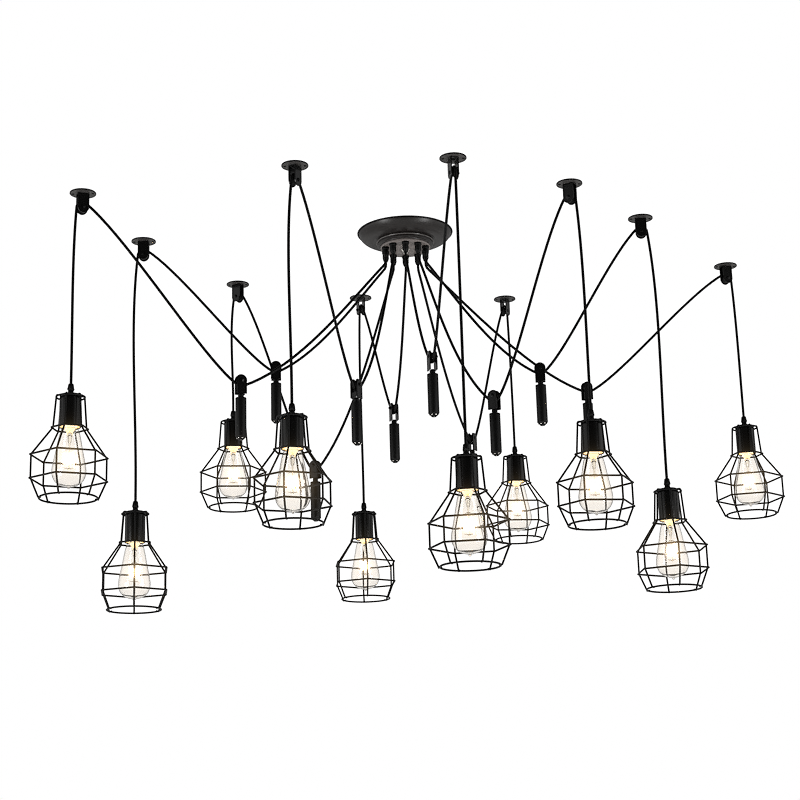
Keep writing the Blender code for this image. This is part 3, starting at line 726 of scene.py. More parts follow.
def cord_runs(arm):
    """The three runs of an arm's cord in its plane: grip to weight, weight to hook, hook to
    lamp. On a wheel a run is an arc, and between the wheels it is a cubic curve."""
    sizes = bpy.context.scene.chandelier_cord
    quarter, wrap, bend = math.pi / 2, sizes.on_wheel, sizes.gland_bend
    weight = np.array(((arm.weight - arm.grip) @ arm.outward, arm.weight[2]))
    hook = np.array((arm.reach, arm.hook[2]))
    exit_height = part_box("grip_plate")[0].z - sizes.dip
    fall = math.atan2(exit_height - weight[1], weight[0])
    rise = math.atan2(hook[1] - weight[1], hook[0] - weight[0])
    leaving, landing = fall + sizes.gland_steeper, fall - sizes.down_flatter
    climbing, cresting = rise - sizes.up_flatter, rise - sizes.hook_flatter
    gland = arc((bend, exit_height), bend, 2 * quarter, 3 * quarter - leaving)
    under = arc(weight, wrap, 3 * quarter - landing, 3 * quarter + climbing)
    over = arc(hook, wrap, quarter + cresting, arm.lean)
    down = eased(gland[-1], -leaving, GLAND_BEND_SHARE, -landing, DOWN_BEND_SHARE, under[0])
    up = eased(under[-1], climbing, UP_BEND_SHARE, cresting, HOOK_BEND_SHARE, over[0])
    lamp = np.array(((arm.lamp - arm.grip) @ arm.outward, arm.lamp[2] - LAMP_BORE))
    above = lamp + (0.0, LAMP_BORE + sizes.straight)
    drop = eased(
        over[-1], arm.lean - quarter, DROP_LEAVE_SHARE, -quarter, DROP_ARRIVE_SHARE, above
    )
    middle, crest = len(under) // 2, len(over) // 2
    first = np.concatenate([[(0.0, SHEATH_TOP)], gland, down[1:], under[1:middle]])
    second = np.concatenate([under[middle - 1 :], up[1:], over[1:crest]])
    third = np.concatenate([over[crest - 1 :], drop[1:], [lamp]])
    return [even(run, sizes.spacing) for run in (first, second, third)], (under, over, lamp)


class CHANDELIER_OT_cords(bpy.types.Operator):
    """Runs each cord from its grip, under its weight's wheel, over its hook and to its lamp"""

    bl_idname = "chandelier.cords"
    bl_label = "Cords"

    def execute(self, context):
        sizes = context.scene.chandelier_cord
        for arm in arms():
            runs, (under, over, lamp) = cord_runs(arm)
            weight, lamp_body = arm.name("weight"), arm.name("lamp")
            spans = (
                ("cord_down", runs[0], "canopy", weight, runs[0][0], under[0]),
                ("cord_up", runs[1], weight, "canopy", under[-1], over[0]),
                ("cord_drop", runs[2], "canopy", lamp_body, over[-1], lamp),
            )
            for piece, run, near, far, start, end in spans:
                line = arm.at(run)
                skin = tube(line, arm.axis, sizes.radius, CORD_SIDES)
                made = build(arm.name(piece), [skin], FINISH["cord"], 35.0)
                begin, finish = arm.at([start, end])
                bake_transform(made)
                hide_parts("cords")
        return {"FINISHED"}


# Canopy


def half_round(radius, height, size, start, end):
    """A bead's outline: an arc round its middle, between two angles in degrees."""
    return arc((radius, height), size, start * DEGREE, end * DEGREE, 15)


class CHANDELIER_OT_canopy(bpy.types.Operator):
    """Spins the canopy: a shallow dish with a rolled rim and a beaded step under it"""

    bl_idname = "chandelier.canopy"
    bl_label = "Canopy"

    def execute(self, context):
        size = context.scene.chandelier_canopy
        low, top = heights("canopy_shell")
        rim, bead, step = size.rim, size.bead, size.step_radius
        corner, wall = size.step_depth / 3, size.wall
        dish = smooth([(r * size.radius, -z * size.depth) for r, z in DISH_SHARES], 4)
        crease = -size.depth - 1.1 * MM
        side = [
            (step - 1.0 * bead, -size.shoulder - 1.1 * bead),
            (step - 1.9 * bead, -size.shoulder - 3.0 * bead),
            (step - 3.6 * bead, low + 2.2 * bead),
            (size.lip + 1.1 * bead, low + 1.2 * bead),
        ]
        outer = [
            half_round(size.radius - rim, top - rim, rim, 90, -160),
            dish,
            [(step + 0.8 * bead, -size.depth - 0.4 * MM), (step - 1.2 * bead, crease)],
            half_round(step - bead, -size.shoulder, bead, 80, -70),
            smooth(side, 4),
            half_round(size.lip, low + 0.8 * bead, bead, 10, -150),
        ]
        inner = [
            [(size.hole_radius, low), (size.hole_radius, low + wall)],
            [(step - corner - wall, low + wall), (step - wall, low + corner)],
            [(step - wall, -size.depth + wall)],
            inset(dish, -wall)[::-1],
            [(size.radius - 2 * rim, top)],
        ]
        section = np.concatenate(outer + inner)
        shell = ("canopy", "canopy_shell")
        dress("canopy_dish", [hoop(section, 128)], "dish", *shell, sharp=40.0)
        # A black ring laid over the dish's rolled rim draws the rim darker than the dish
        path = circle(size.radius - rim, 128, height=top - rim)
        roll = tube(path, UP, rim + 0.1 * MM, 12, closed=True)
        dress("canopy_rim", [roll], "paint", *shell)
        # The beads laid over the step's shoulder and foot are drawn lighter than the dish: a
        # painted highlight
        upper = circle(step - 0.8 * bead, 96, height=-size.shoulder - 0.2 * MM)
        lower = circle(size.lip + 0.1 * MM, 96, height=low + bead)
        arcs = [tube(path, UP, bead, 10, closed=True) for path in (upper, lower)]
        dress("canopy_beads", arcs, "bead", *shell)
        return {"FINISHED"}


class CHANDELIER_OT_grip_plate(bpy.types.Operator):
    """Makes the plate under the canopy, its ten cord grips and the nut that holds it"""

    bl_idname = "chandelier.grip_plate"
    bl_label = "Grip plate"

    def execute(self, context):
        size, cord = context.scene.chandelier_canopy, context.scene.chandelier_cord
        end, top = heights("grip_plate")
        low = top - size.plate
        bore = size.stud + 0.3 * MM
        section = rounded(drum(size.plate_radius, top, low, bore), 1.0 * MM, 4)
        dress("grip_plate_disc", [hoop(section, 96)], "plate", "canopy", "grip_plate")
        body, hole = size.grip_radius, cord.radius + 0.1 * MM
        shaft = [
            (hole, low + 1 * MM),
            (body + 1 * MM, low + 1 * MM),
            (body + 1 * MM, low - 4 * MM),
            (body, low - 5 * MM),
            (body, low - 12.6 * MM),
            (body - 0.5 * MM, low - 13.2 * MM),
            (body + 0.2 * MM, low - 14.0 * MM),
            (body - 0.3 * MM, low - 16.5 * MM),
            (body - 2.0 * MM, end + 3.4 * MM),
            (body - 2.6 * MM, end + 2.5 * MM),
            (hole, end + 2.5 * MM),
        ]
        shaft = rounded(shaft, 0.7 * MM, 3)
        surfaces = [hoop(shaft, 32, placed(arm.grip)) for arm in arms()]
        dress("cord_grips", surfaces, "nylon", "canopy", "grip_plate")
        self.make_nut(size, low)
        return {"FINISHED"}

    def make_nut(self, size, low):
        """A washer and a domed hexagon nut on the stud's end."""
        washer_low, _ = heights("nut_washer")
        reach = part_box("nut_washer")[1].x
        ring = rounded(drum(reach, low - 0.3 * MM, washer_low, size.stud), 0.3 * MM, 3)
        dress("canopy_washer", [hoop(ring, 48)], "nickel", "canopy", "nut_washer")
        end, top = heights("cap_nut")
        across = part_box("cap_nut")[1].x
        skirt = top - 0.5 * size.nut
        hexagon = rounded(drum(across, top, skirt), 0.5 * MM, 3)
        dome = smooth([(0.0, skirt + 0.5 * MM), (across * 0.8, skirt + 0.5 * MM),
                       (across * 0.78, skirt - 0.5 * MM), (across * 0.6, end + 1.2 * MM),
                       (across * 0.3, end + 0.2 * MM), (0.0, end)])
        nut = [lathe(hexagon, 48, placed(HERE), flats=6), lathe(dome, 36, placed(HERE))]
        dress("canopy_nut", nut, "nickel", "canopy", "cap_nut")


# A core's radius, its rise out of the sheath and its run into the terminal block
CORE_RADIUS, CORE_RISE, CORE_RUN = 0.0011, 0.006, 0.009


class CHANDELIER_OT_inside(bpy.types.Operator):
    """Finishes the ceiling bar and terminal block, and leads the cords' cores to the block"""

    bl_idname = "chandelier.inside"
    bl_label = "Bar and wiring"

    def execute(self, context):
        nodes = frame["nodes"]
        for name, finish in (("ceiling_bar", "zinc"), ("terminal_block", "block")):
            mesh = nodes[name].data
            mesh.materials.clear()
            mesh.materials.append(FINISH[finish])
        low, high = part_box("terminal_block")
        surfaces = []
        for index, arm in enumerate(arms()):
            side = math.copysign(1.0, arm.grip[1])
            along = np.interp(index % 5, (0, 4), (low.x + 2 * MM, high.x - 2 * MM))
            sheath = arm.grip + (0, 0, SHEATH_TOP - 1 * MM)
            port = np.array((along, side * high.y, (low.z + high.z) / 2))
            before = port + (0, side * CORE_RUN, 0)
            path = bezier(sheath, sheath + (0, 0, CORE_RISE), before, port)
            surfaces.append(tube(path, unit(np.cross(port - sheath, UP)), CORE_RADIUS, 10))
        dress("cord_leads", surfaces, "cord", "canopy", "cords", slotted=False)
        screws = []
        head = rounded(mm((0, -0.6), (1.5, -0.6), (1.5, 0.5), (0, 0.5)), 0.2 * MM, 2)
        for along in np.linspace(low.x + 3.5 * MM, high.x - 3.5 * MM, 3):
            for side in (-1, 1):
                place = placed((along, side * 4.5 * MM, low.z), (1, 0, 0), (0, -1, 0))
                screws.append(lathe(head, 16, place))
        dress("terminal_screws", screws, "brass", "canopy")
        return {"FINISHED"}


# Hooks, wheels and weights

# The eased edge of a strap, the bends of a hook's fork, and the radii of the studs round a
# weight's end and at its tip
STRAP_BEVEL, FORK_BEND = 0.00035, 0.0026
STUD_RADIUS, TIP_STUD_RADIUS = 0.00145, 0.0012


def fork_path(half_gap, base, reach, bend):
    """A fork's line (across, height over the axle): up one leg, over the base and down the
    other. The legs end at the reach under the axle, and the two bends are eased."""
    corners = [(-half_gap, -reach), (-half_gap, base), (half_gap, base), (half_gap, -reach)]
    line = rounded(corners, bend, 6)
    ends = -reach * np.sin(np.linspace(math.pi / 2, 0, 10))
    left = np.stack([0 * ends - half_gap, ends], 1)
    return np.concatenate([left, line[1:-1], (left * (-1, 1))[::-1]])


def fork(arm, size):
    """A strap bent into a fork round the hook's axle. Past the axle its legs are half
    ellipses: width times the root of one less the square of the share of the reach."""
    base = size.axle_drop - size.thick - size.plate / 2 + 0.6 * MM
    line = fork_path((size.gap + size.plate) / 2, base, size.end, FORK_BEND)
    beyond = np.maximum(-line[:, 1], 0.0) / size.end
    widths = size.strap * np.sqrt(np.maximum(1 - beyond**2, 1e-8))
    path = arm.hook + line[:, :1] * arm.axis + line[:, 1:] * UP
    return strap(path, arm.outward, widths, size.plate, STRAP_BEVEL)


def side_plates(arm, size, hook):
    """The weight's two flat plates beside its wheel, rounded off about the axle on top."""
    rise = size.strap * np.sin(np.linspace(0, math.pi / 2, 14))
    height = np.concatenate([[-size.fork_drop, 1 * MM - size.fork_drop], rise])
    widths = np.sqrt(np.maximum(size.strap**2 - np.maximum(height, 0.0) ** 2, 1e-8))
    widths[0] -= 1 * MM
    side = (hook.gap + hook.plate) / 2 * arm.axis
    path = height[:, None] * UP
    return [
        strap(arm.weight + sign * side + path, arm.outward, widths, hook.plate, STRAP_BEVEL)
        for sign in (-1, 1)
    ]


def axle_parts(place, size):
    """The axle's pin with a washer and a low head on one side and a nut on the other."""
    outer = size.gap / 2 + size.plate
    surfaces = [lathe(drum(size.axle, -outer - 1 * MM, outer + 1 * MM), 24, place)]
    for end in (-1, 1):
        ring = drum(size.head, end * (outer - 0.2 * MM), end * (outer + 0.6 * MM))
        surfaces.append(lathe(rounded(ring, 0.2 * MM, 2), 32, place))
    wide, face = size.head - 0.7 * MM, outer + 0.5 * MM
    tip, thread = outer + size.nut, size.axle - 0.4 * MM
    nut = [(0, face), (wide, face), (wide, tip - 0.9 * MM), (thread, tip - 0.9 * MM),
           (thread, tip), (0, tip)]
    surfaces.append(lathe(rounded(nut, 0.3 * MM, 2), 36, place, flats=6))
    button = [(0, -face), (size.head - 1 * MM, -face), (size.head - 1.4 * MM, -outer - 1.4 * MM),
              (0, -outer - 1.6 * MM)]
    surfaces.append(lathe(rounded(button, 0.3 * MM, 2), 28, place))
    return surfaces


# The screws of a hook: where on the rosette, as a share of its radius, and the head's radius
# and how far it is sunk above the rosette's face, both in millimetres
HOOK_SCREWS = ((-0.76, 3.0, 0.6), (0.76, 3.0, 0.6), (0, 3.6, -1.5))


class CHANDELIER_OT_hooks(bpy.types.Operator):
    """Makes the ceiling hooks: a round rosette, two screws, and a fork with its axle"""

    bl_idname = "chandelier.hooks"
    bl_label = "Ceiling hooks"

    def execute(self, context):
        size = context.scene.chandelier_hook
        r, t = size.rosette, size.thick
        disc = rounded(drum(r, 0, -t), 0.3 * MM, 3)
        edge = rounded(
            [(r - 1.2 * MM, -0.4 * MM), (r + 0.1 * MM, -0.4 * MM),
             (r + 0.1 * MM, -t - 0.3 * MM), (r - 1.2 * MM, -t - 0.3 * MM)],
            0.4 * MM, 3,
        )
        for arm in arms():
            ceiling = arm.hook * (1, 1, 0)
            place = placed(ceiling)
            whole = ("canopy", arm.name("hook"))
            dress(arm.name("hook_rosette"), [lathe(disc, 64, place)], "rosette", *whole)
            surfaces = [fork(arm, size), hoop(edge, 64, place)]
            surfaces += axle_parts(arm.across(arm.hook), size)
            dress(arm.name("hook_fork"), surfaces, "gloss", *whole)
            heads = []
            for share, width, sunk in HOOK_SCREWS:
                spot = ceiling + (share * r, 0, sunk * MM - t)
                place = placed(spot, (1, 0, 0), (0, -1, 0))
                dome = mm(
                    (0, -0.8), (width, -0.8), (width, 0.5), (0.7 * width, 1.3),
                    (0.25 * width, 1.6), (0.2 * width, 0.9), (0, 0.8),
                )
                heads.append(lathe(rounded(dome, 0.4 * MM, 3), 24, place))
            dress(arm.name("hook_screws"), heads, "nylon", *whole, stands=False)
        return {"FINISHED"}


class CHANDELIER_OT_wheels(bpy.types.Operator):
    """Turns the grooved wheels of the hooks and the weights"""

    bl_idname = "chandelier.wheels"
    bl_label = "Wheels"

    def execute(self, context):
        size = context.scene.chandelier_hook
        half, rim, bore = size.wheel_width / 2, size.wheel, size.axle + 0.3 * MM
        hub = bore + 2.4 * MM
        side = [(bore, half), (hub, half), (hub + 0.8 * MM, half - 1.4 * MM),
                (size.groove - 0.6 * MM, half - 1.4 * MM), (size.groove + 0.4 * MM, half),
                (rim - 0.3 * MM, half), (rim, half - 0.6 * MM),
                (size.groove + 0.5 * MM, 1.6 * MM), (size.groove, 0.0)]
        section = side + [(radius, -height) for radius, height in side[-2::-1]]
        section = rounded(section, 0.45 * MM, 3)
        for arm in arms():
            for kind, centre in (("hook_wheel", arm.hook), ("weight_wheel", arm.weight)):
                turned = hoop(section, 56, arm.across(centre))
                whole = (arm.name(kind), arm.name(kind))
                dress(arm.name("pulley_" + kind), [turned], "nylon", *whole)
        return {"FINISHED"}


class CHANDELIER_OT_weights(bpy.types.Operator):
    """Makes the hanging weights: two plates with their axle, a stem and a long round tube"""

    bl_idname = "chandelier.weights"
    bl_label = "Hanging weights"

    def execute(self, context):
        size, hook = context.scene.chandelier_weight, context.scene.chandelier_hook
        top = -size.fork_drop - size.stem
        end = top - size.tube
        body = [
            (0, -size.dome),
            (0.55 * size.stem_radius, -size.dome - 0.5 * MM),
            (0.87 * size.stem_radius, -size.dome - 1.9 * MM),
            (size.stem_radius, -size.dome - 4.2 * MM),
            (size.stem_radius, top),
            (size.radius, top),
            (size.radius, end + size.tip),
            (size.tip_radius + 1 * MM, end + 0.8 * MM),
            (size.tip_radius, end),
            (0.35 * size.tip_radius, end),
            (0.3 * size.tip_radius, end + 1.2 * MM),
            (0, end + 1.2 * MM),
        ]
        body = rounded(body, 0.7 * MM, 3)
        for arm in arms():
            whole = (arm.name("weight"), arm.name("weight"))
            turned = [lathe(body, 48, placed(arm.weight))]
            dress(arm.name("weight_tube"), turned, "blackened", *whole)
            surfaces = side_plates(arm, size, hook)
            surfaces += axle_parts(arm.across(arm.weight), hook)
            dress(arm.name("weight_fork"), surfaces, "gloss", *whole)
            ring = circle((size.radius + size.tip_radius) / 2 + 0.2 * MM, 6)
            studs = [
                ball(arm.weight + (x, y, end + 0.52 * size.tip), STUD_RADIUS) for x, y in ring
            ]
            studs.append(ball(arm.weight + (0, 0, end + 0.9 * MM), TIP_STUD_RADIUS))
            dress(arm.name("weight_studs"), studs, "nickel", arm.name("weight"))
        return {"FINISHED"}


# Lamps


class CHANDELIER_OT_lamp_holders(bpy.types.Operator):
    """Turns each lamp's cord grip and its tubular holder"""

    bl_idname = "chandelier.lamp_holders"
    bl_label = "Lamp holders"

    def execute(self, context):
        size, cord = context.scene.chandelier_lamp, context.scene.chandelier_cord
        hole, nut = cord.radius + 0.1 * MM, size.grip_radius
        top, end = -size.grip, -size.grip - size.holder
        wide, wall = size.holder_radius, 1.2 * MM
        sleeve = rounded(
            [(0, top), (wide - 1.2 * MM, top), (wide, top - 1.2 * MM), (wide, end + 0.3 * MM),
             (wide - 0.3 * MM, end), (wide - wall, end), (wide - wall, end + 13 * MM),
             (0, end + 13 * MM)],
            0.8 * MM, 4,
        )
        insert = (0, end) + mm((15.5, 12.9), (18.7, 12.9), (18.7, 1.4), (15.5, 1.4))
        insert = rounded(insert, 0.8 * MM, 3)
        cone = mm((hole / MM, 0), (4.2, 0), (5.0, -1.6), (5.7, -5.5), (6.0, -8.4), (0, -8.4))
        stub = [(0, -12 * MM), (5.3 * MM, -12 * MM)]
        stub += [*((0, top) + mm((5.3, 4.2), (6.4, 3.6), (7.0, 0.6), (7.0, -0.5), (0, -0.5)))]
        hexagon = [(0, -8.2 * MM), (nut, -8.2 * MM), (nut + 0.3 * MM, -9.2 * MM),
                   (nut + 0.3 * MM, -11.6 * MM), (nut, -12.6 * MM), (0, -12.6 * MM)]
        for arm in arms():
            place, whole = placed(arm.lamp), (arm.name("lamp"), arm.name("lamp"))
            surfaces = [
                lathe(rounded(cone, 0.8 * MM, 4), 32, place),
                lathe(rounded(stub, 0.4 * MM, 3), 32, place),
                lathe(rounded(hexagon, 0.4 * MM, 3), 48, place, flats=6),
            ]
            dress(arm.name("lamp_grip"), surfaces, "nylon", *whole)
            dress(arm.name("lamp_holder"), [lathe(sleeve, 64, place)], "enamel", *whole)
            dress(arm.name("lamp_socket"), [hoop(insert, 48, place)], "porcelain", *whole)
        return {"FINISHED"}


# Bends of the cage's upright wires and of its six-sided rings, and a weld's radius as a
# share of the wire's
WIRE_BEND, RING_BEND, WELD_SHARE = 0.0045, 0.0035, 1.35


class CHANDELIER_OT_cages(bpy.types.Operator):
    """Bends and welds each lamp's wire cage: six upright wires and five rings"""

    bl_idname = "chandelier.cages"
    bl_label = "Wire cages"

    def execute(self, context):
        size, lamp = context.scene.chandelier_cage, context.scene.chandelier_lamp
        wire = size.wire
        upright = rounded(
            [(lamp.holder_radius - 0.6 * MM, -size.top_drop),
             (size.top_radius, -size.top_drop),
             (size.neck_radius, -size.neck_drop),
             (size.body_radius, -size.upper_drop),
             (size.body_radius, -size.lower_drop),
             (size.foot_radius + wire, -size.foot_drop - 0.6 * wire)],
            WIRE_BEND, 6,
        )
        rings = (
            (size.top_radius, size.top_drop + 1.6 * wire, 0, 48),
            (size.neck_radius + 1.9 * wire, size.neck_drop, RING_BEND, CAGE_WIRES),
            (size.ring_radius, size.upper_drop, RING_BEND, CAGE_WIRES),
            (size.ring_radius, size.lower_drop, RING_BEND, CAGE_WIRES),
            (size.foot_radius, size.foot_drop, 0, 96),
        )
        for arm in arms():
            surfaces = []
            for angle in turns(CAGE_WIRES) + arm.cage_turn:
                ray = np.array((math.cos(angle), math.sin(angle), 0))
                path = arm.lamp + upright[:, :1] * ray + upright[:, 1:] * UP
                surfaces.append(tube(path, np.cross(ray, UP), wire, 10))
                for radius, drop, _, _ in rings[1:]:
                    spot = arm.lamp + (radius - 0.9 * wire) * ray - (0, 0, drop)
                    surfaces.append(ball(spot, WELD_SHARE * wire, 8, 6))
            for radius, drop, bend, corners in rings:
                line = circle(radius, corners, arm.cage_turn, -drop)
                if bend:
                    line = rounded(line, bend, 5, closed=True)
                surfaces.append(tube(arm.lamp + line, UP, wire, 10, closed=True))
            whole = (arm.name("lamp"), arm.name("lamp"))
            dress(arm.name("lamp_cage"), surfaces, "paint", *whole, sharp=50.0)
        return {"FINISHED"}


# Drops of the filament's upper and lower turns below the holder's mouth, their radii, the
# number of turns, and the thickness of the strand and of its support wires
FILAMENT_TOP, FILAMENT_END = 0.044, 0.076
FILAMENT_TOP_RADIUS, FILAMENT_END_RADIUS = 0.0075, 0.0095
FILAMENT_STOPS = 18
STRAND_RADIUS, SUPPORT_RADIUS = 0.00045, 0.0002
# Power of the light at each filament, in watts, and its radius
FILAMENT_WATTS, FILAMENT_SOFTNESS = 0.06, 0.014


class CHANDELIER_OT_bulbs(bpy.types.Operator):
    """Blows each bulb and fits its screw cap, glass stem and lit filament"""

    bl_idname = "chandelier.bulbs"
    bl_label = "Bulbs"

    def execute(self, context):
        size = context.scene.chandelier_lamp
        mouth = -size.grip - size.holder
        outline = [(r * size.bulb_radius, mouth - z * size.bulb) for r, z in BULB_SHARES]
        neck = (outline[0][0], mouth + 3 * MM)
        outer = smooth([neck, *outline], 6)
        inner = inset(outer[:-4], size.glass)
        closing = [(0.0, inner[-1, 1] - 0.4 * MM)]
        skin = np.concatenate([outer, closing, inner[::-1]])
        skin[len(outer) - 1, 0] = 0.0
        cap = (0, mouth) + mm(
            (0, 24), (8, 24), (13.4, 18), (13.4, 0.6), (12.9, 0.6), (12.9, 4), (0, 4)
        )
        cap = rounded(cap, 0.5 * MM, 3)
        stem = (0, mouth) + mm(
            (0, 3.8), (10.8, 3.6), (9.6, -3), (6.4, -9), (4.4, -16), (3.4, -25), (1.8, -31),
            (1.6, -48), (1.6, -74), (2.2, -77), (1.4, -79), (0, -79.6),
        )
        stem = smooth(stem, 4)
        for arm in arms():
            place, body = placed(arm.lamp), arm.name("lamp")
            strand, wires = self.filament(arm.lamp, mouth, arm.cage_turn)
            for piece, surface, finish, sharp, unseen in (
                ("bulb_glass", [hoop(skin, 64, place)], "glass", 80.0, ("shadow", "glossy")),
                ("bulb_cap", [lathe(cap, 48, place)], "cap", 35.0, ()),
                ("bulb_stem", [lathe(stem, 32, place)], "stem", 80.0, ("shadow", "glossy")),
                ("bulb_filament", strand, "glow", 35.0, ("diffuse", "glossy")),
                ("bulb_supports", wires, "wire", 35.0, ()),
            ):
                made = dress(
                    arm.name(piece), surface, finish, body, body, slotted=False, sharp=sharp
                )
                for rays in unseen:
                    setattr(made, "visible_" + rays, False)
            self.light(arm, mouth)
        return {"FINISHED"}

    def filament(self, lamp, mouth, turn):
        """The filament zigzags nine times between an upper and a lower circle, and thin
        wires from the stem hold its turns."""
        top, low = mouth - FILAMENT_TOP, mouth - FILAMENT_END
        angle = turn + turns(FILAMENT_STOPS)
        high = np.arange(FILAMENT_STOPS) % 2 == 0
        radius = np.where(high, FILAMENT_TOP_RADIUS, FILAMENT_END_RADIUS)
        line = np.stack(
            [radius * np.cos(angle), radius * np.sin(angle), np.where(high, top, low)], 1
        )
        path = rounded(line, 1.2 * MM, 4)
        outward = path * (1, 1, 0)
        strand = tube(lamp + path, unit(outward), STRAND_RADIUS, 6)
        wires, middle = [], (top + low) / 2
        for point in line:
            hub = (0, 0, point[2] + (5 * MM if point[2] > middle else -1 * MM))
            ray = unit(point * (1, 1, 0))
            run = np.array([hub, hub + ray * 4 * MM, point])
            wires.append(tube(lamp + smooth(run, 4), np.cross(ray, UP), SUPPORT_RADIUS, 6))
        return [strand], wires

    def light(self, arm, mouth):
        """A small warm light at the filament, which goes with the lamp."""
        data = bpy.data.lights.new(arm.name("filament_light"), "POINT")
        data.color = bpy.context.scene.chandelier_finish.glow
        data.energy, data.shadow_soft_size = FILAMENT_WATTS, FILAMENT_SOFTNESS
        made = bpy.data.objects.new(arm.name("filament_light"), data)
        made.visible_glossy = made.visible_transmission = False
        made.location = arm.lamp + (0, 0, mouth - (FILAMENT_TOP + FILAMENT_END) / 2)
        bpy.context.scene.collection.objects.link(made)
        made.parent = frame["bodies"][arm.name("lamp")]


# Studio

# Half of the floor's side, and its level
FLOOR_HALF, FLOOR_LEVEL = 6.0, -2.3
# The soft lights: name, place, width and height, and power in watts
SOFT_LIGHTS = (
    ("left_softbox", (-2.6, -2.0, -1.2), (0.9, 1.8), 32.0),
    ("right_softbox", (2.4, -2.0, -1.3), (0.7, 1.8), 34.0),
)
LIGHT_AIM = np.array((0.0, 0.0, -0.4))

# The camera's place and slants in degrees, and its lens as the picture's width in pixels
# and the focal length in pixels
CAMERA_PLACE = (-0.0198, -3.2117, -1.2025)
CAMERA_PITCH, CAMERA_ROLL = 14.761, -1.607
PICTURE_PIXELS, FOCAL_PIXELS = 800, 1658.8
SENSOR_WIDTH = 36.0

# How the world's light runs: from one direction share to another it goes from one strength
# to another, behind the object and at its sides
RAMP_ENDS = ("From Min", "From Max", "To Min", "To Max")
BACK_LIGHT, SIDE_LIGHT = (-0.3, 0.8, 0.05, 0.35), (0.7, 1.0, 0.0, 0.8)

# What the lens and camera do to the picture, as compositor nodes in order: light brighter
# than the threshold spreads, the picture is limited to its range, and it is sharpened as
# the eye sees it, which is with its gamma
SCREEN_GAMMA = 2.2
LENS = (
    ("Glare", {"glare_type": "BLOOM", "quality": "HIGH"},
     {"Threshold": 1.3, "Strength": 0.75, "Size": 0.04}),
    ("MixRGB", {"use_clamp": True}, {"Fac": 0.0}),
    ("Gamma", {}, {"Gamma": 1 / SCREEN_GAMMA}),
    ("Filter", {"filter_type": "SHARPEN_DIAMOND"}, {"Fac": 0.18}),
    ("MixRGB", {"use_clamp": True}, {"Fac": 0.0}),
    ("Gamma", {}, {"Gamma": SCREEN_GAMMA}),
)


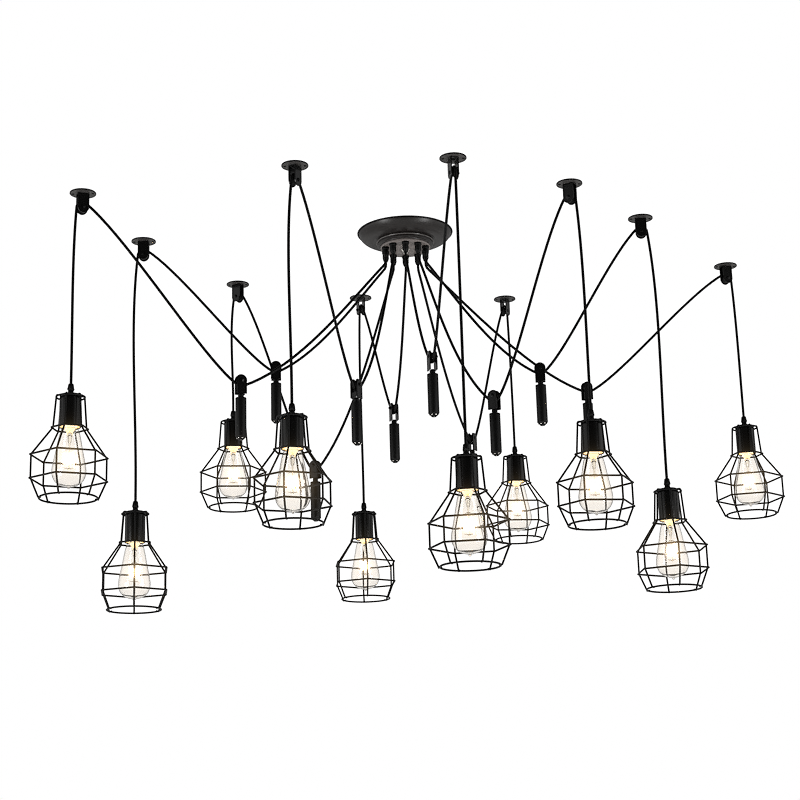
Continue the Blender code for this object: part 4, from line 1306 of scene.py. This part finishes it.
class CHANDELIER_OT_stage(bpy.types.Operator):
    """Sets up the pale floor, the soft lights and the camera at the photograph's angle"""

    bl_idname = "chandelier.stage"
    bl_label = "Studio"

    def execute(self, context):
        scene = context.scene
        self.camera(scene)
        self.sky(scene)
        for light in SOFT_LIGHTS:
            self.soft_light(scene, *light)
        data = bpy.data.meshes.new("studio_floor")
        corners = [(-1, -1), (1, -1), (1, 1), (-1, 1)]
        spots = [(x * FLOOR_HALF, y * FLOOR_HALF, FLOOR_LEVEL) for x, y in corners]
        data.from_pydata(spots, [], [(0, 1, 2, 3)])
        floor = bpy.data.objects.new("studio_floor", data)
        surface = coat(
            "matt_studio_floor", scene.chandelier_finish.floor, 0.0, (0.7, 0.85), 30.0, 0.1, 0.01
        )
        lit(surface, scene.chandelier_finish.floor, 0.3)
        data.materials.append(surface)
        scene.collection.objects.link(floor)
        scene.view_settings.view_transform = "Standard"
        self.lens(scene)
        return {"FINISHED"}

    def lens(self, scene):
        """Spreads the light of the filaments, as a lens does with lights this bright, and
        sharpens the picture a little, as a camera does."""
        scene.use_nodes = True
        tree = scene.node_tree
        tree.nodes.clear()
        last = tree.nodes.new("CompositorNodeRLayers")
        for kind, settings, values in (*LENS, ("Composite", {}, {})):
            values = {**values, "Image": last.outputs["Image"]}
            last = node(tree, kind, settings, values, "CompositorNode")

    def camera(self, scene):
        """The camera stands low in front of the chandelier and looks up at it."""
        data = bpy.data.cameras.new("camera")
        data.sensor_width = SENSOR_WIDTH
        data.lens = SENSOR_WIDTH * FOCAL_PIXELS / PICTURE_PIXELS
        made = bpy.data.objects.new("camera", data)
        pitch, roll = CAMERA_PITCH * DEGREE, CAMERA_ROLL * DEGREE
        ahead = np.array((0, math.cos(pitch), math.sin(pitch)))
        level = np.array((1.0, 0.0, 0.0))
        above = np.array((0, -math.sin(pitch), math.cos(pitch)))
        right = math.cos(roll) * level + math.sin(roll) * above
        upward = math.cos(roll) * above - math.sin(roll) * level
        matrix = np.eye(4)
        matrix[:3, :3] = np.stack([right, upward, -ahead], 1)
        matrix[:3, 3] = CAMERA_PLACE
        made.matrix_world = matrix.T.tolist()
        scene.collection.objects.link(made)
        scene.camera = made

    def sky(self, scene):
        """White all round for the camera and for what glass lets through. For gloss and soft
        light it is bright behind and below the object and dim in front."""
        world = bpy.data.worlds.new("white_studio")
        world.use_nodes = True
        tree = world.node_tree
        shade = tree.nodes["Background"]
        rays = node(tree, "LightPath")
        seen = node(
            tree, "Math", {"operation": "MAXIMUM"},
            {0: rays.outputs["Is Camera Ray"], 1: rays.outputs["Is Transmission Ray"]},
        )
        where = node(tree, "TexCoord").outputs["Generated"]
        parts = node(tree, "SeparateXYZ", {}, {"Vector": where})
        beside = node(tree, "Math", {"operation": "ABSOLUTE"}, {0: parts.outputs["X"]})
        light = {}
        for way, (spans, value) in enumerate(
            ((BACK_LIGHT, parts.outputs["Y"]), (SIDE_LIGHT, beside.outputs[0]))
        ):
            ramp = {"Value": value, **dict(zip(RAMP_ENDS, spans))}
            made = node(tree, "MapRange", {"interpolation_type": "SMOOTHSTEP"}, ramp)
            light[way] = made.outputs["Result"]
        soft = node(tree, "Math", {"operation": "MAXIMUM"}, light)
        strength = node(
            tree, "Mix", {"data_type": "FLOAT"},
            {"Factor": seen.outputs[0], "A": soft.outputs[0], "B": 1.0},
        )
        tree.links.new(strength.outputs["Result"], shade.inputs["Strength"])
        shade.inputs["Color"].default_value = (1.0, 1.0, 1.0, 1.0)
        scene.world = world

    def soft_light(self, scene, name, place, size, power):
        data = bpy.data.lights.new(name, "AREA")
        data.shape = "RECTANGLE"
        data.size, data.size_y = size
        data.energy = power
        made = bpy.data.objects.new(name, data)
        made.location = place
        made.rotation_mode = "QUATERNION"
        made.rotation_quaternion = Vector(LIGHT_AIM - place).to_track_quat("-Z", "Y")
        scene.collection.objects.link(made)


STEPS = (
    CHANDELIER_OT_stage,
    CHANDELIER_OT_cords,
    CHANDELIER_OT_canopy,
    CHANDELIER_OT_grip_plate,
    CHANDELIER_OT_inside,
    CHANDELIER_OT_hooks,
    CHANDELIER_OT_wheels,
    CHANDELIER_OT_weights,
    CHANDELIER_OT_lamp_holders,
    CHANDELIER_OT_cages,
    CHANDELIER_OT_bulbs,
)


class CHANDELIER_PT_panel(bpy.types.Panel):
    """Lists the sizes, the finishes and the steps that build the chandelier"""

    bl_idname = "CHANDELIER_PT_panel"
    bl_label = "Chandelier"
    bl_space_type = "VIEW_3D"
    bl_region_type = "UI"
    bl_category = "Chandelier"

    def draw(self, context):
        layout = self.layout
        for name in GROUPS:
            group = getattr(context.scene, name)
            box = layout.box()
            for key in group.bl_rna.properties.keys():
                if key not in ("rna_type", "name"):
                    box.prop(group, key)
        for step in STEPS:
            layout.operator(step.bl_idname)


CLASSES = (*GROUPS.values(), *STEPS, CHANDELIER_PT_panel)


def register():
    for cls in CLASSES:
        bpy.utils.register_class(cls)
    for name, group in GROUPS.items():
        setattr(bpy.types.Scene, name, bpy.props.PointerProperty(type=group))


def unregister():
    for name in GROUPS:
        delattr(bpy.types.Scene, name)
    for cls in reversed(CLASSES):
        bpy.utils.unregister_class(cls)


def main():
    register()
    FINISH.update(make_finishes())
    for step in STEPS:
        group, name = step.bl_idname.split(".")
        getattr(getattr(bpy.ops, group), name)()


if __name__ == "__main__":
    main()
